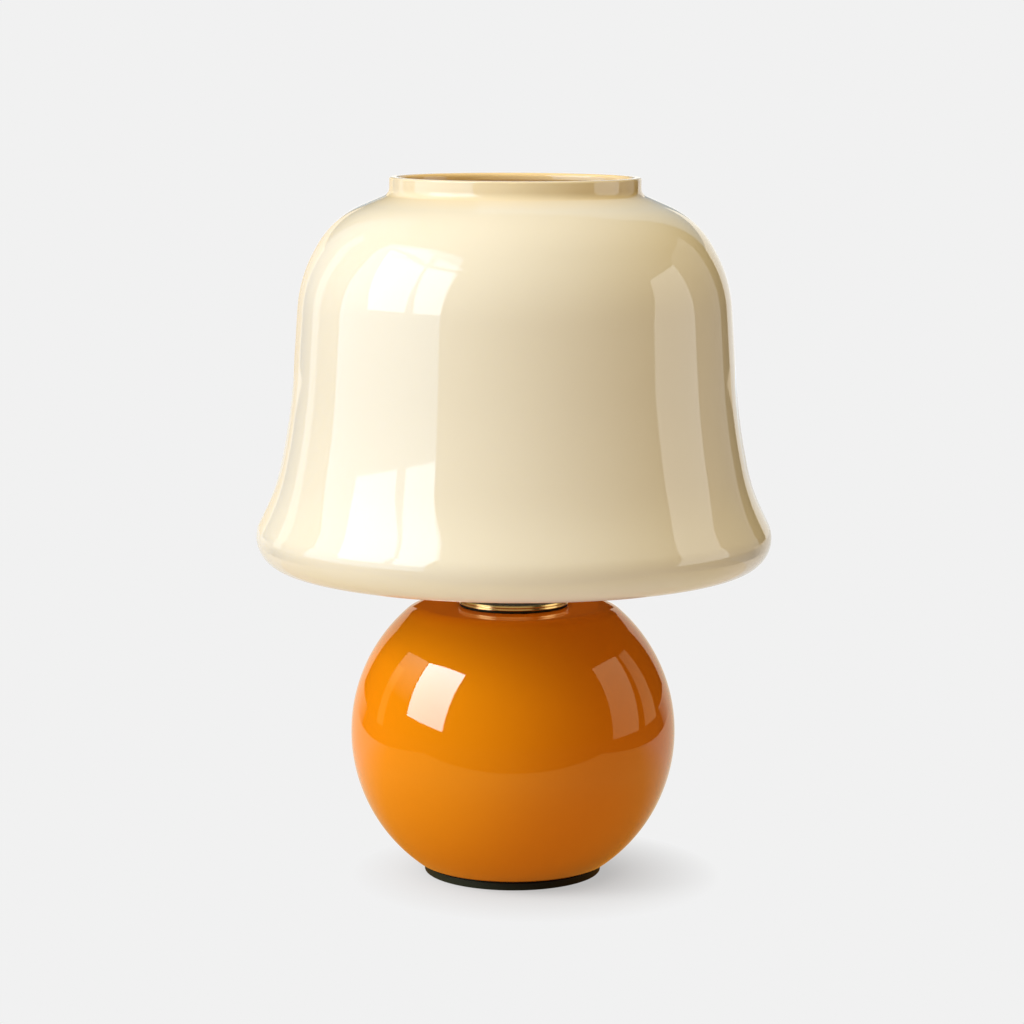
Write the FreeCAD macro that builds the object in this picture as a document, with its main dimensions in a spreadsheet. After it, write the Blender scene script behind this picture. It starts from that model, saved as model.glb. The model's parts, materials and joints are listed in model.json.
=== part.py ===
import FreeCAD, Part
import math
import os
import re
import Sketcher

# Mushroom table lamp: an opaque glass ball carries a brass stem with a light head, and a bell of
# glass rests on three pads above the head. Millimetres, +Z up, origin at the bottom centre.

# ---------------------------------------------------------------- driving dimensions
SIZES = {
    # foot and bottom cap
    "foot_step": 4.2,
    "foot_bore": 29.0,
    "foot_pad": 1.6,
    "foot_skirt": 0.8,
    "foot_skirt_height": 1.6,
    "foot_edge": 0.4,
    "fit_gap": 0.1,
    "cap_thickness": 2.2,
    "spigot_wall": 2.0,
    "spigot_height": 5.0,
    "spigot_gap": 0.4,
    "well_bore": 12.4,
    "well_wall": 1.6,
    "well_height": 9.6,
    "cap_gasket": 0.6,
    # glass ball
    "ball_radius": 70.0,
    "ball_wall": 3.0,
    "ball_foot_step": 6.73,
    "ball_flat_radius": 43.0,
    "ball_shoulder": 11.0,
    "ball_mouth": 34.0,
    "ball_neck": 15.0,
    "ball_rim_edge": 0.8,
    # charging port at the back
    "notch_width": 14.4,
    "notch_height": 5.2,
    "notch_corner": 2.0,
    "turret_width": 13.2,
    "turret_height": 5.3,
    "turret_step": 2.3,
    "turret_corner": 1.5,
    "port_width": 8.94,
    "port_height": 3.26,
    "port_corner": 1.5,
    "port_length": 8.5,
    "port_depth": 6.6,
    "port_wall": 0.3,
    "tongue_width": 6.6,
    "tongue_height": 0.7,
    "tongue_length": 5.2,
    "port_room": 0.5,
    "board_thickness": 1.0,
    "board_width": 18.0,
    "board_length": 14.0,
    "board_tongue_length": 6.5,
    "board_inset": 4.3,
    # ballast
    "ballast_height": 20.0,
    "ballast_edge": 1.0,
    "slot_room": 0.6,
    "slot_height": 7.0,
    "lead_hole": 5.8,
    "lead_place": 21.0,
    # tie tube with its nuts and washers
    "tube_radius": 5.0,
    "tube_bore": 4.0,
    "tube_inset": 1.0,
    "tube_room": 0.3,
    "tube_past_plate": 12.0,
    "window_width": 4.6,
    "window_height": 11.0,
    "nut_flats": 17.0,
    "nut_height": 4.8,
    "nut_gap": 0.05,
    "washer_radius": 10.0,
    "washer_height": 1.2,
    # battery
    "cell_radius": 9.2,
    "cell_length": 65.0,
    "cell_place": 16.0,
    "contact_radius": 5.0,
    "contact_height": 0.5,
    "tab_width": 4.0,
    "tab_reach": 13.0,
    "strap_width": 16.0,
    "carrier_radius": 28.0,
    "carrier_plate": 2.0,
    "web_start": 9.0,
    "web_end": 14.5,
    "web_thickness": 3.0,
    "wire_radius": 0.7,
    "wire_place": 3.2,
    "wire_bend": 4.0,
    "cable_radius": 1.6,
    "cable_bend": 15.0,
    "cable_rise": 5.4,
    "cable_cross": 12.0,
    # screws
    "cap_screw_circle": 23.0,
    "cap_screw_head": 2.75,
    "cap_screw_head_height": 0.9,
    "cap_screw_radius": 1.5,
    "cap_screw_length": 10.0,
    "cap_screw_drive": 2.0,
    "carrier_screw_side": 14.0,
    "carrier_screw_back": 20.0,
    "carrier_screw_head": 2.8,
    "carrier_screw_head_height": 1.8,
    "carrier_screw_length": 8.0,
    "head_screw_circle": 12.8,
    "head_screw_head": 2.2,
    "head_screw_head_height": 1.3,
    "head_screw_radius": 1.2,
    "head_screw_length": 9.0,
    "head_screw_drive": 1.5,
    "screw_gap": 0.1,
    "screw_reach": 1.0,
    # collar on top of the ball
    "collar_gasket": 1.2,
    "collar_gasket_radius": 24.0,
    "collar_radius": 23.6,
    "collar_wall": 1.6,
    "collar_height": 2.1,
    "collar_edge": 0.6,
    "collar_plate": 1.1,
    # stem
    "stem_radius": 8.0,
    "stem_wall": 2.0,
    "stem_length": 77.0,
    "bush_length": 7.0,
    # light head
    "head_radius": 23.5,
    "head_plate": 3.0,
    "head_rim": 1.2,
    "head_rim_height": 5.0,
    "head_edge": 2.0,
    "core_flats": 30.0,
    "core_length": 67.0,
    "core_pocket": 10.8,
    "core_pocket_depth": 7.0,
    "led_board_width": 14.0,
    "led_board_length": 58.0,
    "led_board_thickness": 1.0,
    "led_board_start": 4.5,
    "chip_size": 3.5,
    "chip_height": 0.7,
    "chip_pitch": 13.0,
    "chip_count": 4,
    "diffuser_wall": 1.6,
    "head_cap_height": 15.45,
    "head_cap_skirt": 4.0,
    "head_cap_wall": 3.0,
    "shoulder_gap": 0.3,
    "pillar_radius": 2.9,
    "bushing_radius": 10.0,
    "bushing_height": 7.0,
    # switch and button
    "switch_board_radius": 9.3,
    "switch_side": 6.0,
    "switch_height": 3.5,
    "switch_floor": 0.5,
    "plunger_radius": 1.7,
    "plunger_gap": 0.15,
    "press_room": 0.5,
    "button_radius": 7.6,
    "button_gap": 0.3,
    "button_travel": 1.0,
    "button_flange": 9.0,
    "button_flange_height": 2.2,
    "button_stem": 2.5,
    "button_proud": 1.0,
    "button_edge": 0.8,
    "button_dish": 0.5,
    "spring_radius": 5.4,
    "spring_wire": 0.35,
    "spring_turns": 5,
    "spring_seat": 0.1,
    # carrier under the shade
    "carrier_hub": 15.0,
    "carrier_thickness": 2.0,
    "arm_width": 9.0,
    "arm_count": 3,
    "seat_step": 6.6,
    "seat_ring_width": 6.0,
    "pad_width": 4.4,
    "pad_angle": 20.0,
    "pad_height": 3.3,
    "seat_gap": 0.3,
    "ring_nut_radius": 14.5,
    "ring_nut_height": 4.5,
    "knurl_radius": 0.5,
    "knurl_count": 24,
    # glass bell: steps outwards from the neck and upwards from the rim, corner by corner of its
    # outer outline; a reach is how far a bend runs along the sides of its corner
    "shade_wall": 3.0,
    "shade_neck": 53.4,
    "shoulder_step": 23.9,
    "crown_step": 14.1,
    "side_step": 4.0,
    "waist_step": 6.3,
    "curl_step": 16.3,
    "waist_rise": 33.6,
    "side_rise": 30.8,
    "crown_rise": 58.8,
    "shoulder_rise": 25.2,
    "neck_rise": 10.2,
    "neck_length": 7.0,
    "rim_flat": 1.56,
    "curl_bend": 12.8,
    "waist_reach": 11.2,
    "side_reach": 17.5,
    "crown_reach": 14.25,
    "shoulder_bend": 40.0,
    "neck_bend": 3.7,
    "lip_thickness": 4.3,
    "lip_height": 3.2,
    "lip_slope": 1.2,
    "lip_outer_edge": 0.8,
    "lip_inner_edge": 1.6,
    "rim_edge": 1.3,
}

# Places worked out from the driving dimensions, each from the piece that it sits on.
PLACES = {
    "foot_radius": "ball_mouth + foot_step",
    "ball_foot_radius": "ball_mouth + ball_foot_step",
    "cap_top": "foot_pad + cap_thickness",
    "cap_radius": "foot_radius - foot_skirt - fit_gap",
    "spigot_radius": "ball_mouth - spigot_gap",
    "ballast_radius": "spigot_radius - spigot_wall - spigot_gap",
    "well_radius": "well_bore + well_wall",
    "well_top": "foot_pad + well_height",
    "tube_hole": "tube_radius + tube_room",
    "glass_floor": "cap_top + cap_gasket",
    "ball_centre": "glass_floor + sqrt(ball_radius^2 - ball_foot_radius^2)",
    "ball_top": "ball_centre + sqrt(ball_radius^2 - ball_flat_radius^2)",
    "ball_inside": "ball_radius - ball_wall",
    "ball_ceiling": "ball_top - ball_wall",
    "ball_sill": "glass_floor + ball_wall",
    "board_top": "cap_top + board_thickness",
    "turret_reach": "foot_radius + turret_step",
    "port_mouth": "turret_reach - 2 * fit_gap",
    "board_tongue": "port_mouth - board_inset",
    "board_end": "board_tongue - board_tongue_length",
    "board_start": "board_end - board_length",
    "port_middle": "board_top + port_height / 2",
    "ballast_top": "cap_top + ballast_height",
    "carrier_floor": "ballast_top + carrier_plate",
    "cell_floor": "carrier_floor + contact_height",
    "cell_top": "cell_floor + cell_length",
    "carrier_lid": "cell_top + contact_height",
    "carrier_top": "carrier_lid + carrier_plate",
    "bend_start": "carrier_top + cable_rise",
    "bend_end": "bend_start + cable_cross",
    "collar_floor": "ball_top + collar_gasket",
    "stem_floor": "collar_floor + collar_plate",
    "stem_top": "stem_floor + stem_length",
    "head_floor": "stem_top + head_plate",
    "core_top": "head_floor + core_length",
    "diffuser_radius": "head_radius - head_rim - fit_gap",
    "head_top": "core_top + head_cap_height",
    "head_ceiling": "head_top - head_cap_wall",
    "bushing_top": "head_top + bushing_height",
    "switch_floor_level": "core_top + board_thickness",
    "switch_top": "switch_floor_level + switch_height",
    "plunger_floor": "switch_floor_level + switch_floor + button_travel + press_room",
    "plunger_top": "switch_top + button_travel + press_room",
    "flange_top": "head_ceiling - fit_gap",
    "flange_floor": "flange_top - button_flange_height",
    "button_top": "bushing_top + button_travel + button_proud",
    "plate_top": "head_top + carrier_thickness",
    "shade_shoulder": "shade_neck + shoulder_step",
    "shade_crown": "shade_shoulder + crown_step",
    "shade_side": "shade_crown + side_step",
    "shade_waist": "shade_side + waist_step",
    "shade_curl": "shade_waist + curl_step",
    "side_level": "waist_rise + side_rise",
    "crown_level": "side_level + crown_rise",
    "shoulder_level": "crown_level + shoulder_rise",
    "neck_level": "shoulder_level + neck_rise",
    "shade_height": "neck_level + neck_length",
    "curl_lean": "curl_step / waist_rise",
    "waist_lean": "waist_step / side_rise",
    "side_lean": "side_step / crown_rise",
    "crown_lean": "crown_step / shoulder_rise",
    "shade_mouth": "shade_curl - curl_bend * (curl_lean + sqrt(1 + curl_lean^2)) - rim_flat",
    "waist_bend": "2 * waist_reach / (curl_lean - waist_lean)",
    "side_bend": "2 * side_reach / (waist_lean - side_lean)",
    "crown_bend": "2 * crown_reach / (crown_lean - side_lean)",
    "seat_radius": "shade_neck + seat_step",
    "seat_ring_inner": "seat_radius - seat_ring_width / 2",
    "seat_ring_outer": "seat_radius + seat_ring_width / 2",
    "shoulder_slope": "neck_rise / shoulder_step",
    "seat_in_shade": "neck_level - seat_step * shoulder_slope - shade_wall * sqrt(1 + shoulder_slope^2)",
    "shade_floor": "plate_top + pad_height + seat_gap - seat_in_shade",
}

NEAR = 0.01

doc = FreeCAD.newDocument("mushroom_table_lamp")
sheet = doc.addObject("Spreadsheet::Sheet", "Sizes")
for row, (word, number) in enumerate(SIZES.items(), 1):
    sheet.set("A%d" % row, word)
    sheet.set("B%d" % row, str(number))
    sheet.setAlias("B%d" % row, word)
doc.recompute()


# ---------------------------------------------------------------- expressions
def formula(text):
    """Spell a formula out in the names of the sheet."""
    def spell(match):
        word = match.group(0)
        if word in PLACES:
            return "(" + formula(PLACES[word]) + ")"
        if word in SIZES:
            return "Sizes." + word
        return word
    return re.sub(r"[a-z_]+", spell, text)


def value(text):
    """The number that a formula gives."""
    return float(sheet.evalExpression(formula(text)))


def bind(target, prop, text):
    target.setExpression(prop, formula(text))


# ---------------------------------------------------------------- sketches
def new_body(name):
    made = doc.addObject("PartDesign::Body", name)
    made.Label = name
    return made


def origin_part(body, role):
    return next(item for item in body.Origin.OriginFeatures if item.Role == role)


def new_sketch(body, name, role, offset="0"):
    """A sketch on an origin plane of the body, moved along the plane's normal by the offset."""
    made = body.newObject("Sketcher::SketchObject", name)
    made.AttachmentSupport = [(origin_part(body, role), "")]
    made.MapMode = "FlatFace"
    bind(made, ".AttachmentOffset.Base.z", offset)
    return made


def hold_point(sketch, geometry, point, x, y):
    """Fix one point of the sketch at (x, y) from the origin, each given as a formula."""
    for kind, text in (("DistanceX", x), ("DistanceY", y)):
        index = sketch.addConstraint(Sketcher.Constraint(kind, -1, 1, geometry, point, value(text)))
        bind(sketch, "Constraints[%d]" % index, text)


def hold_radius(sketch, geometry, radius):
    index = sketch.addConstraint(Sketcher.Constraint("Radius", geometry, value(radius)))
    bind(sketch, "Constraints[%d]" % index, radius)


def add_circle(sketch, x, y, radius):
    centre = FreeCAD.Vector(value(x), value(y), 0)
    index = sketch.addGeometry(Part.Circle(centre, FreeCAD.Vector(0, 0, 1), value(radius)), False)
    hold_point(sketch, index, 3, x, y)
    hold_radius(sketch, index, radius)


def add_side(sketch, start, end, arc):
    """One side of an outline; an arc is (centre x, centre y, radius). Returns its start point number."""
    if arc is None:
        sketch.addGeometry(Part.LineSegment(start, end), False)
        return 1
    centre = FreeCAD.Vector(value(arc[0]), value(arc[1]), 0)
    first = start - centre
    last = end - centre
    angles = [math.atan2(first.y, first.x), math.atan2(last.y, last.x)]
    forward = first.cross(last).z > 0
    if not forward:
        angles.reverse()
    circle = Part.Circle(centre, FreeCAD.Vector(0, 0, 1), value(arc[2]))
    sketch.addGeometry(Part.ArcOfCircle(circle, angles[0], angles[1]), False)
    return 1 if forward else 2


def add_outline(sketch, points, arcs=None, closed=True):
    """Lines and arcs through the points, each point held by its two formulas."""
    arcs = arcs or {}
    base = sketch.GeometryCount
    places = [FreeCAD.Vector(value(x), value(y), 0) for x, y in points]
    count = len(points) if closed else len(points) - 1
    starts = []
    for side in range(count):
        end = places[(side + 1) % len(points)]
        starts.append(add_side(sketch, places[side], end, arcs.get(side)))
    for side in range(count if closed else count - 1):
        after = (side + 1) % count
        link = Sketcher.Constraint("Coincident", base + side, 3 - starts[side], base + after, starts[after])
        sketch.addConstraint(link)
    for side in range(count):
        hold_point(sketch, base + side, starts[side], *points[side])
    if not closed:
        hold_point(sketch, base + count - 1, 3 - starts[-1], *points[-1])
    for side, arc in arcs.items():
        hold_radius(sketch, base + side, arc[2])


def round_corners(sketch, first_side, radii):
    """Round the corners between the sides that follow first_side, one radius for each corner."""
    for number, radius in enumerate(radii):
        sketch.fillet(first_side + number, 2, value(radius), True, True)
        arc = max(i for i, item in enumerate(sketch.Geometry) if isinstance(item, Part.ArcOfCircle))
        hold_radius(sketch, arc, radius)


def add_box(sketch, left, low, right, high, corner=None):
    base = sketch.GeometryCount
    add_outline(sketch, [(left, low), (right, low), (right, high), (left, high)])
    if corner:
        round_corners(sketch, base, [corner] * 4)


def add_hexagon(sketch, x, y, flats):
    """A hexagon with two flats square to X."""
    corners = []
    for across, along in ((1, -1), (1, 1), (0, 2), (-1, 1), (-1, -1), (0, -2)):
        corner_x = "%s + %d * (%s) / 2" % (x, across, flats)
        corner_y = "%s + %d * (%s) / sqrt(12)" % (y, along, flats)
        corners.append((corner_x, corner_y))
    add_outline(sketch, corners)


# ---------------------------------------------------------------- features
def revolve(body, name, points, arcs=None, angle="360"):
    """Turn an outline given as (radius, height) about the vertical axis."""
    profile = new_sketch(body, name + "_outline", "XZ_Plane")
    add_outline(profile, points, arcs)
    turned = body.newObject("PartDesign::Revolution", name)
    turned.Profile = profile
    turned.ReferenceAxis = (profile, ["V_Axis"])
    turned.Midplane = True
    bind(turned, "Angle", angle)
    doc.recompute()
    return turned


def pad(body, profile, name, length):
    grown = body.newObject("PartDesign::Pad", name)
    grown.Profile = profile
    bind(grown, "Length", length)
    doc.recompute()
    return grown


def pocket(body, profile, name, length, along_normal=False):
    """Cut against the sketch's normal, or along it."""
    before = body.Shape.Volume
    cut = body.newObject("PartDesign::Pocket", name)
    cut.Profile = profile
    cut.Reversed = along_normal
    bind(cut, "Length", length)
    doc.recompute()
    if body.Shape.Volume > before - NEAR:
        raise ValueError(name + " cuts nothing")
    return cut


def polar(body, originals, name, count):
    copies = body.newObject("PartDesign::PolarPattern", name)
    copies.Originals = originals
    copies.Axis = (origin_part(body, "Z_Axis"), [""])
    copies.Angle = 360
    bind(copies, "Occurrences", count)
    body.Tip = copies
    doc.recompute()
    return copies


def fillet_rim(body, name, radius, *rims):
    """Round the level circular edges that are given as (radius, height)."""
    base = body.Tip
    names = []
    for number, edge in enumerate(base.Shape.Edges, 1):
        if not isinstance(edge.Curve, Part.Circle):
            continue
        for rim_radius, rim_height in rims:
            same_radius = abs(edge.Curve.Radius - value(rim_radius)) < NEAR
            same_height = abs(edge.Curve.Center.z - value(rim_height)) < NEAR
            if same_radius and same_height:
                names.append("Edge%d" % number)
    rounded = body.newObject("PartDesign::Fillet", name)
    rounded.Base = (base, names)
    bind(rounded, "Radius", radius)
    doc.recompute()
    return rounded


def ring(name, inner, outer, low, high):
    """A turned ring with a square section."""
    body = new_body(name)
    revolve(body, name + "_turned", [(inner, low), (outer, low), (outer, high), (inner, high)])
    return body


def disc_pad(body, name, circles, floor, length):
    """A pad of one or more circles; a circle inside another is a hole."""
    profile = new_sketch(body, name + "_circles", "XY_Plane", floor)
    for x, y, radius in circles:
        add_circle(profile, x, y, radius)
    return pad(body, profile, name, length)


def round_holes(body, name, circles, level, depth, upwards=True):
    profile = new_sketch(body, name + "_circles", "XY_Plane", level)
    for x, y, radius in circles:
        add_circle(profile, x, y, radius)
    return pocket(body, profile, name, depth, along_normal=upwards)


def screws(name, place, count, head, shank, drive, head_up):
    """Like screws round the axis: head is (radius, floor, height), shank is (radius, floor, length)."""
    body = new_body(name)
    x, y = place
    head_pad = disc_pad(body, name + "_head", [(x, y, head[0])], head[1], head[2])
    shank_pad = disc_pad(body, name + "_shank", [(x, y, shank[0])], shank[1], shank[2])
    face = "%s + %s" % (head[1], head[2]) if head_up else head[1]
    socket = new_sketch(body, name + "_socket_outline", "XY_Plane", face)
    add_hexagon(socket, x, y, drive)
    socket_cut = pocket(body, socket, name + "_socket", "(%s) / 2" % head[2], along_normal=not head_up)
    polar(body, [head_pad, shank_pad, socket_cut], name + "_set", count)
    return body


def arc_path(points, bend):
    """A wire of straight runs joined by tangent arcs of one radius."""
    edges = []
    start = points[0]
    for before, corner, after in zip(points, points[1:], points[2:]):
        back = (before - corner).normalize()
        onward = (after - corner).normalize()
        half_turn = (math.pi - back.getAngle(onward)) / 2
        reach = bend * math.tan(half_turn)
        bisector = (back + onward).normalize()
        middle = corner + bisector * (bend / math.cos(half_turn) - bend)
        entry = corner + back * reach
        leave = corner + onward * reach
        edges.append(Part.LineSegment(start, entry).toShape())
        edges.append(Part.Arc(entry, middle, leave).toShape())
        start = leave
    edges.append(Part.LineSegment(start, points[-1]).toShape())
    return Part.Wire(edges)


def tube_along(points, radius, bend):
    """A solid round tube along the points, given as formulas."""
    corners = [FreeCAD.Vector(*[value(text) for text in point]) for point in points]
    path = arc_path(corners, value(bend))
    direction = corners[1] - corners[0]
    section = Part.Wire([Part.Circle(corners[0], direction, value(radius)).toShape()])
    tube = path.makePipeShell([section], True, True)
    expected = path.Length * math.pi * value(radius) ** 2
    if abs(tube.Volume - expected) > expected * NEAR:
        raise ValueError("a tube's volume is not its section times its length")
    return tube


def tube_node(name, shapes):
    node = doc.addObject("Part::Feature", name)
    node.Label = name
    node.Shape = shapes[0] if len(shapes) == 1 else Part.makeCompound(shapes)
    node.Placement = FreeCAD.Placement()
    return node


# ---------------------------------------------------------------- foot and bottom cap
def make_foot_ring():
    body = new_body("foot_ring")
    skirt_top = "foot_pad + foot_skirt_height"
    skirt_bore = "foot_radius - foot_skirt"
    revolve(body, "foot_section", [
        ("foot_bore", "0"),
        ("foot_radius", "0"),
        ("foot_radius", skirt_top),
        (skirt_bore, skirt_top),
        (skirt_bore, "foot_pad"),
        ("foot_bore", "foot_pad"),
    ])
    fillet_rim(body, "foot_round", "foot_edge", ("foot_radius", "0"))
    return body


def make_bottom_cap():
    body = new_body("bottom_cap")
    well_ceiling = "well_top - well_wall"
    spigot_top = "cap_top + spigot_height"
    spigot_bore = "spigot_radius - spigot_wall"
    revolve(body, "cap_section", [
        ("well_bore", "foot_pad"),
        ("cap_radius", "foot_pad"),
        ("cap_radius", "cap_top"),
        ("spigot_radius", "cap_top"),
        ("spigot_radius", spigot_top),
        (spigot_bore, spigot_top),
        (spigot_bore, "cap_top"),
        ("well_radius", "cap_top"),
        ("well_radius", "well_top"),
        ("tube_hole", "well_top"),
        ("tube_hole", well_ceiling),
        ("well_bore", well_ceiling),
    ])
    turret = new_sketch(body, "turret_outline", "XY_Plane", "cap_top")
    turret_back = "spigot_radius - spigot_wall / 2"
    add_box(turret, "-turret_width / 2", turret_back, "turret_width / 2", "turret_reach", "turret_corner")
    pad(body, turret, "turret", "turret_height")
    room = new_sketch(body, "port_room_outline", "XZ_Plane", "-board_end + 2 * spigot_wall")
    room_side = "port_width / 2 + port_room"
    add_box(room, "-(%s)" % room_side, "cap_top", room_side, "board_top + port_height + port_room")
    pocket(body, room, "port_passage", "turret_reach")
    bore = round_holes(body, "cap_screw_bore", [
        ("0", "-cap_screw_circle", "cap_screw_radius + screw_gap"),
    ], "foot_pad", "cap_thickness")
    sink = round_holes(body, "cap_screw_sink", [
        ("0", "-cap_screw_circle", "cap_screw_head + screw_gap"),
    ], "foot_pad", "cap_screw_head_height + screw_gap / 2")
    polar(body, [bore, sink], "cap_screw_holes", "3")
    return body


def make_bottom_fasteners():
    well_ceiling = "well_top - well_wall"
    washer_floor = well_ceiling + " - washer_height"
    washer = ring("bottom_washer", "tube_hole", "washer_radius", washer_floor, well_ceiling)
    nut = hex_nut("bottom_nut", washer_floor + " - nut_height")
    holes = screws(
        "cap_screws",
        ("0", "-cap_screw_circle"),
        "3",
        ("cap_screw_head", "foot_pad", "cap_screw_head_height"),
        ("cap_screw_radius", "foot_pad + cap_screw_head_height", "cap_screw_length"),
        "cap_screw_drive",
        False,
    )
    return [washer, nut, holes]


def hex_nut(name, floor):
    body = new_body(name)
    outline = new_sketch(body, name + "_outline", "XY_Plane", floor)
    add_hexagon(outline, "0", "0", "nut_flats")
    add_circle(outline, "0", "0", "tube_radius + nut_gap")
    pad(body, outline, name + "_pad", "nut_height")
    return body


def make_lower_gasket():
    body = ring("lower_gasket", "ball_mouth", "cap_radius", "cap_top", "glass_floor")
    gap = new_sketch(body, "gasket_gap_outline", "XZ_Plane")
    add_box(gap, "-notch_width / 2", "cap_top", "notch_width / 2", "glass_floor")
    pocket(body, gap, "gasket_gap", "ball_radius")
    return body


# ---------------------------------------------------------------- glass ball
def make_glass_base():
    body = new_body("glass_base")
    ceiling_radius = "sqrt(ball_inside^2 - (ball_ceiling - ball_centre)^2)"
    sill_radius = "sqrt(ball_inside^2 - (ball_centre - ball_sill)^2)"
    revolve(body, "ball_section", [
        ("ball_mouth", "glass_floor"),
        ("ball_foot_radius", "glass_floor"),
        ("ball_flat_radius", "ball_top"),
        ("ball_neck", "ball_top"),
        ("ball_neck", "ball_ceiling"),
        (ceiling_radius, "ball_ceiling"),
        (sill_radius, "ball_sill"),
        ("ball_mouth", "ball_sill"),
    ], {
        1: ("0", "ball_centre", "ball_radius"),
        5: ("0", "ball_centre", "ball_inside"),
    })
    fillet_rim(body, "outer_shoulder", "ball_shoulder", ("ball_flat_radius", "ball_top"))
    fillet_rim(body, "inner_shoulder", "ball_shoulder - ball_wall", (ceiling_radius, "ball_ceiling"))
    fillet_rim(body, "rim_round", "ball_rim_edge", ("ball_foot_radius", "glass_floor"))
    notch = new_sketch(body, "notch_outline", "XZ_Plane")
    notch_low = "glass_floor - notch_corner * 2"
    add_box(notch, "-notch_width / 2", notch_low, "notch_width / 2", "glass_floor + notch_height",
            "notch_corner")
    pocket(body, notch, "port_notch", "ball_radius")
    return body


# ---------------------------------------------------------------- charging electronics and ballast
def make_charge_board():
    body = new_body("charge_board")
    half = "board_width / 2"
    tongue = "port_width / 2"
    outline = new_sketch(body, "board_outline", "XY_Plane", "cap_top")
    add_outline(outline, [
        ("-" + half, "board_start"),
        (half, "board_start"),
        (half, "board_end"),
        (tongue, "board_end"),
        (tongue, "board_tongue"),
        ("-" + tongue, "board_tongue"),
        ("-" + tongue, "board_end"),
        ("-" + half, "board_end"),
    ])
    pad(body, outline, "board_pad", "board_thickness")
    return body


def make_usb_c_port():
    body = new_body("usb_c_port")
    shell = new_sketch(body, "port_outline", "XZ_Plane", "-(port_mouth)")
    add_box(shell, "-port_width / 2", "board_top", "port_width / 2", "board_top + port_height", "port_corner")
    pad(body, shell, "port_shell", "port_length")
    mouth = new_sketch(body, "mouth_outline", "XZ_Plane", "-(port_mouth)")
    side = "port_width / 2 - port_wall"
    add_box(mouth, "-(%s)" % side, "board_top + port_wall", side, "board_top + port_height - port_wall",
            "port_corner - port_wall")
    pocket(body, mouth, "port_opening", "port_depth", along_normal=True)
    tongue = new_sketch(body, "tongue_outline", "XZ_Plane", "-(port_mouth) + port_depth - tongue_length")
    add_box(tongue, "-tongue_width / 2", "port_middle - tongue_height / 2",
            "tongue_width / 2", "port_middle + tongue_height / 2")
    pad(body, tongue, "port_tongue", "tongue_length")
    return body


def make_ballast_weight():
    body = new_body("ballast_weight")
    recess = "well_radius + spigot_gap"
    recess_top = "well_top + spigot_gap"
    revolve(body, "ballast_section", [
        (recess, "cap_top"),
        ("ballast_radius", "cap_top"),
        ("ballast_radius", "ballast_top"),
        ("tube_hole", "ballast_top"),
        ("tube_hole", recess_top),
        (recess, recess_top),
    ])
    fillet_rim(body, "ballast_round", "ballast_edge", ("ballast_radius", "ballast_top"))
    slot = new_sketch(body, "slot_outline", "XY_Plane", "cap_top")
    slot_side = "board_width / 2 + slot_room"
    add_box(slot, "-(%s)" % slot_side, "board_start - slot_room", slot_side, "ball_mouth")
    pocket(body, slot, "board_slot", "slot_height", along_normal=True)
    round_holes(body, "lead_way", [("0", "lead_place", "lead_hole")], "cap_top", "ballast_height")
    cap_hole = round_holes(body, "cap_thread", [
        ("0", "-cap_screw_circle", "cap_screw_radius + nut_gap"),
    ], "cap_top", "cap_screw_length + screw_reach")
    polar(body, [cap_hole], "cap_threads", "3")
    carrier_hole = round_holes(body, "carrier_thread", [
        ("carrier_screw_side", "-carrier_screw_back", "cap_screw_radius + nut_gap"),
    ], "ballast_top", "carrier_screw_length", upwards=False)
    polar(body, [carrier_hole], "carrier_threads", "2")
    return body


# ---------------------------------------------------------------- battery
def make_battery_carrier():
    body = new_body("battery_carrier")
    for name, floor in (("lower_plate", "ballast_top"), ("upper_plate", "carrier_lid")):
        disc_pad(body, name, [
            ("0", "0", "carrier_radius"),
            ("0", "0", "tube_hole + fit_gap"),
            ("0", "lead_place", "lead_hole"),
            ("carrier_screw_side", "-carrier_screw_back", "cap_screw_radius + screw_gap"),
            ("-carrier_screw_side", "carrier_screw_back", "cap_screw_radius + screw_gap"),
        ], floor, "carrier_plate")
        if name == "lower_plate":
            webs = new_sketch(body, "web_outline", "XY_Plane", "carrier_floor")
            add_box(webs, "-web_thickness / 2", "web_start", "web_thickness / 2", "web_end")
            add_box(webs, "-web_thickness / 2", "-web_end", "web_thickness / 2", "-web_start")
            pad(body, webs, "webs", "carrier_lid - carrier_floor")
    return body


def make_battery_cells():
    body = new_body("battery_cells")
    cell = disc_pad(body, "cell", [("cell_place", "0", "cell_radius")], "cell_floor", "cell_length")
    polar(body, [cell], "cell_pair", "2")
    return body


def make_battery_contacts():
    body = new_body("battery_contacts")
    for side, name in (("", "right_tab"), ("-", "left_tab")):
        tab = new_sketch(body, name + "_outline", "XY_Plane", "carrier_floor")
        middle = side + "cell_place"
        add_box(tab, middle + " - tab_width / 2", "0", middle + " + tab_width / 2", "tab_reach")
        pad(body, tab, name, "contact_height")
        disc_pad(body, name + "_disc", [(middle, "0", "contact_radius")], "carrier_floor", "contact_height")
    strap = new_sketch(body, "strap_outline", "XY_Plane", "cell_top")
    strap_end = "cell_place + contact_radius"
    add_box(strap, "-(%s)" % strap_end, "-strap_width / 2", strap_end, "strap_width / 2")
    add_circle(strap, "0", "0", "tube_hole + fit_gap")
    pad(body, strap, "strap", "contact_height")
    return body


def make_carrier_screws():
    return screws(
        "carrier_screws",
        ("carrier_screw_side", "-carrier_screw_back"),
        "2",
        ("carrier_screw_head", "carrier_floor", "carrier_screw_head_height"),
        ("cap_screw_radius", "carrier_floor - carrier_screw_length", "carrier_screw_length"),
        "cap_screw_drive",
        True,
    )


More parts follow.
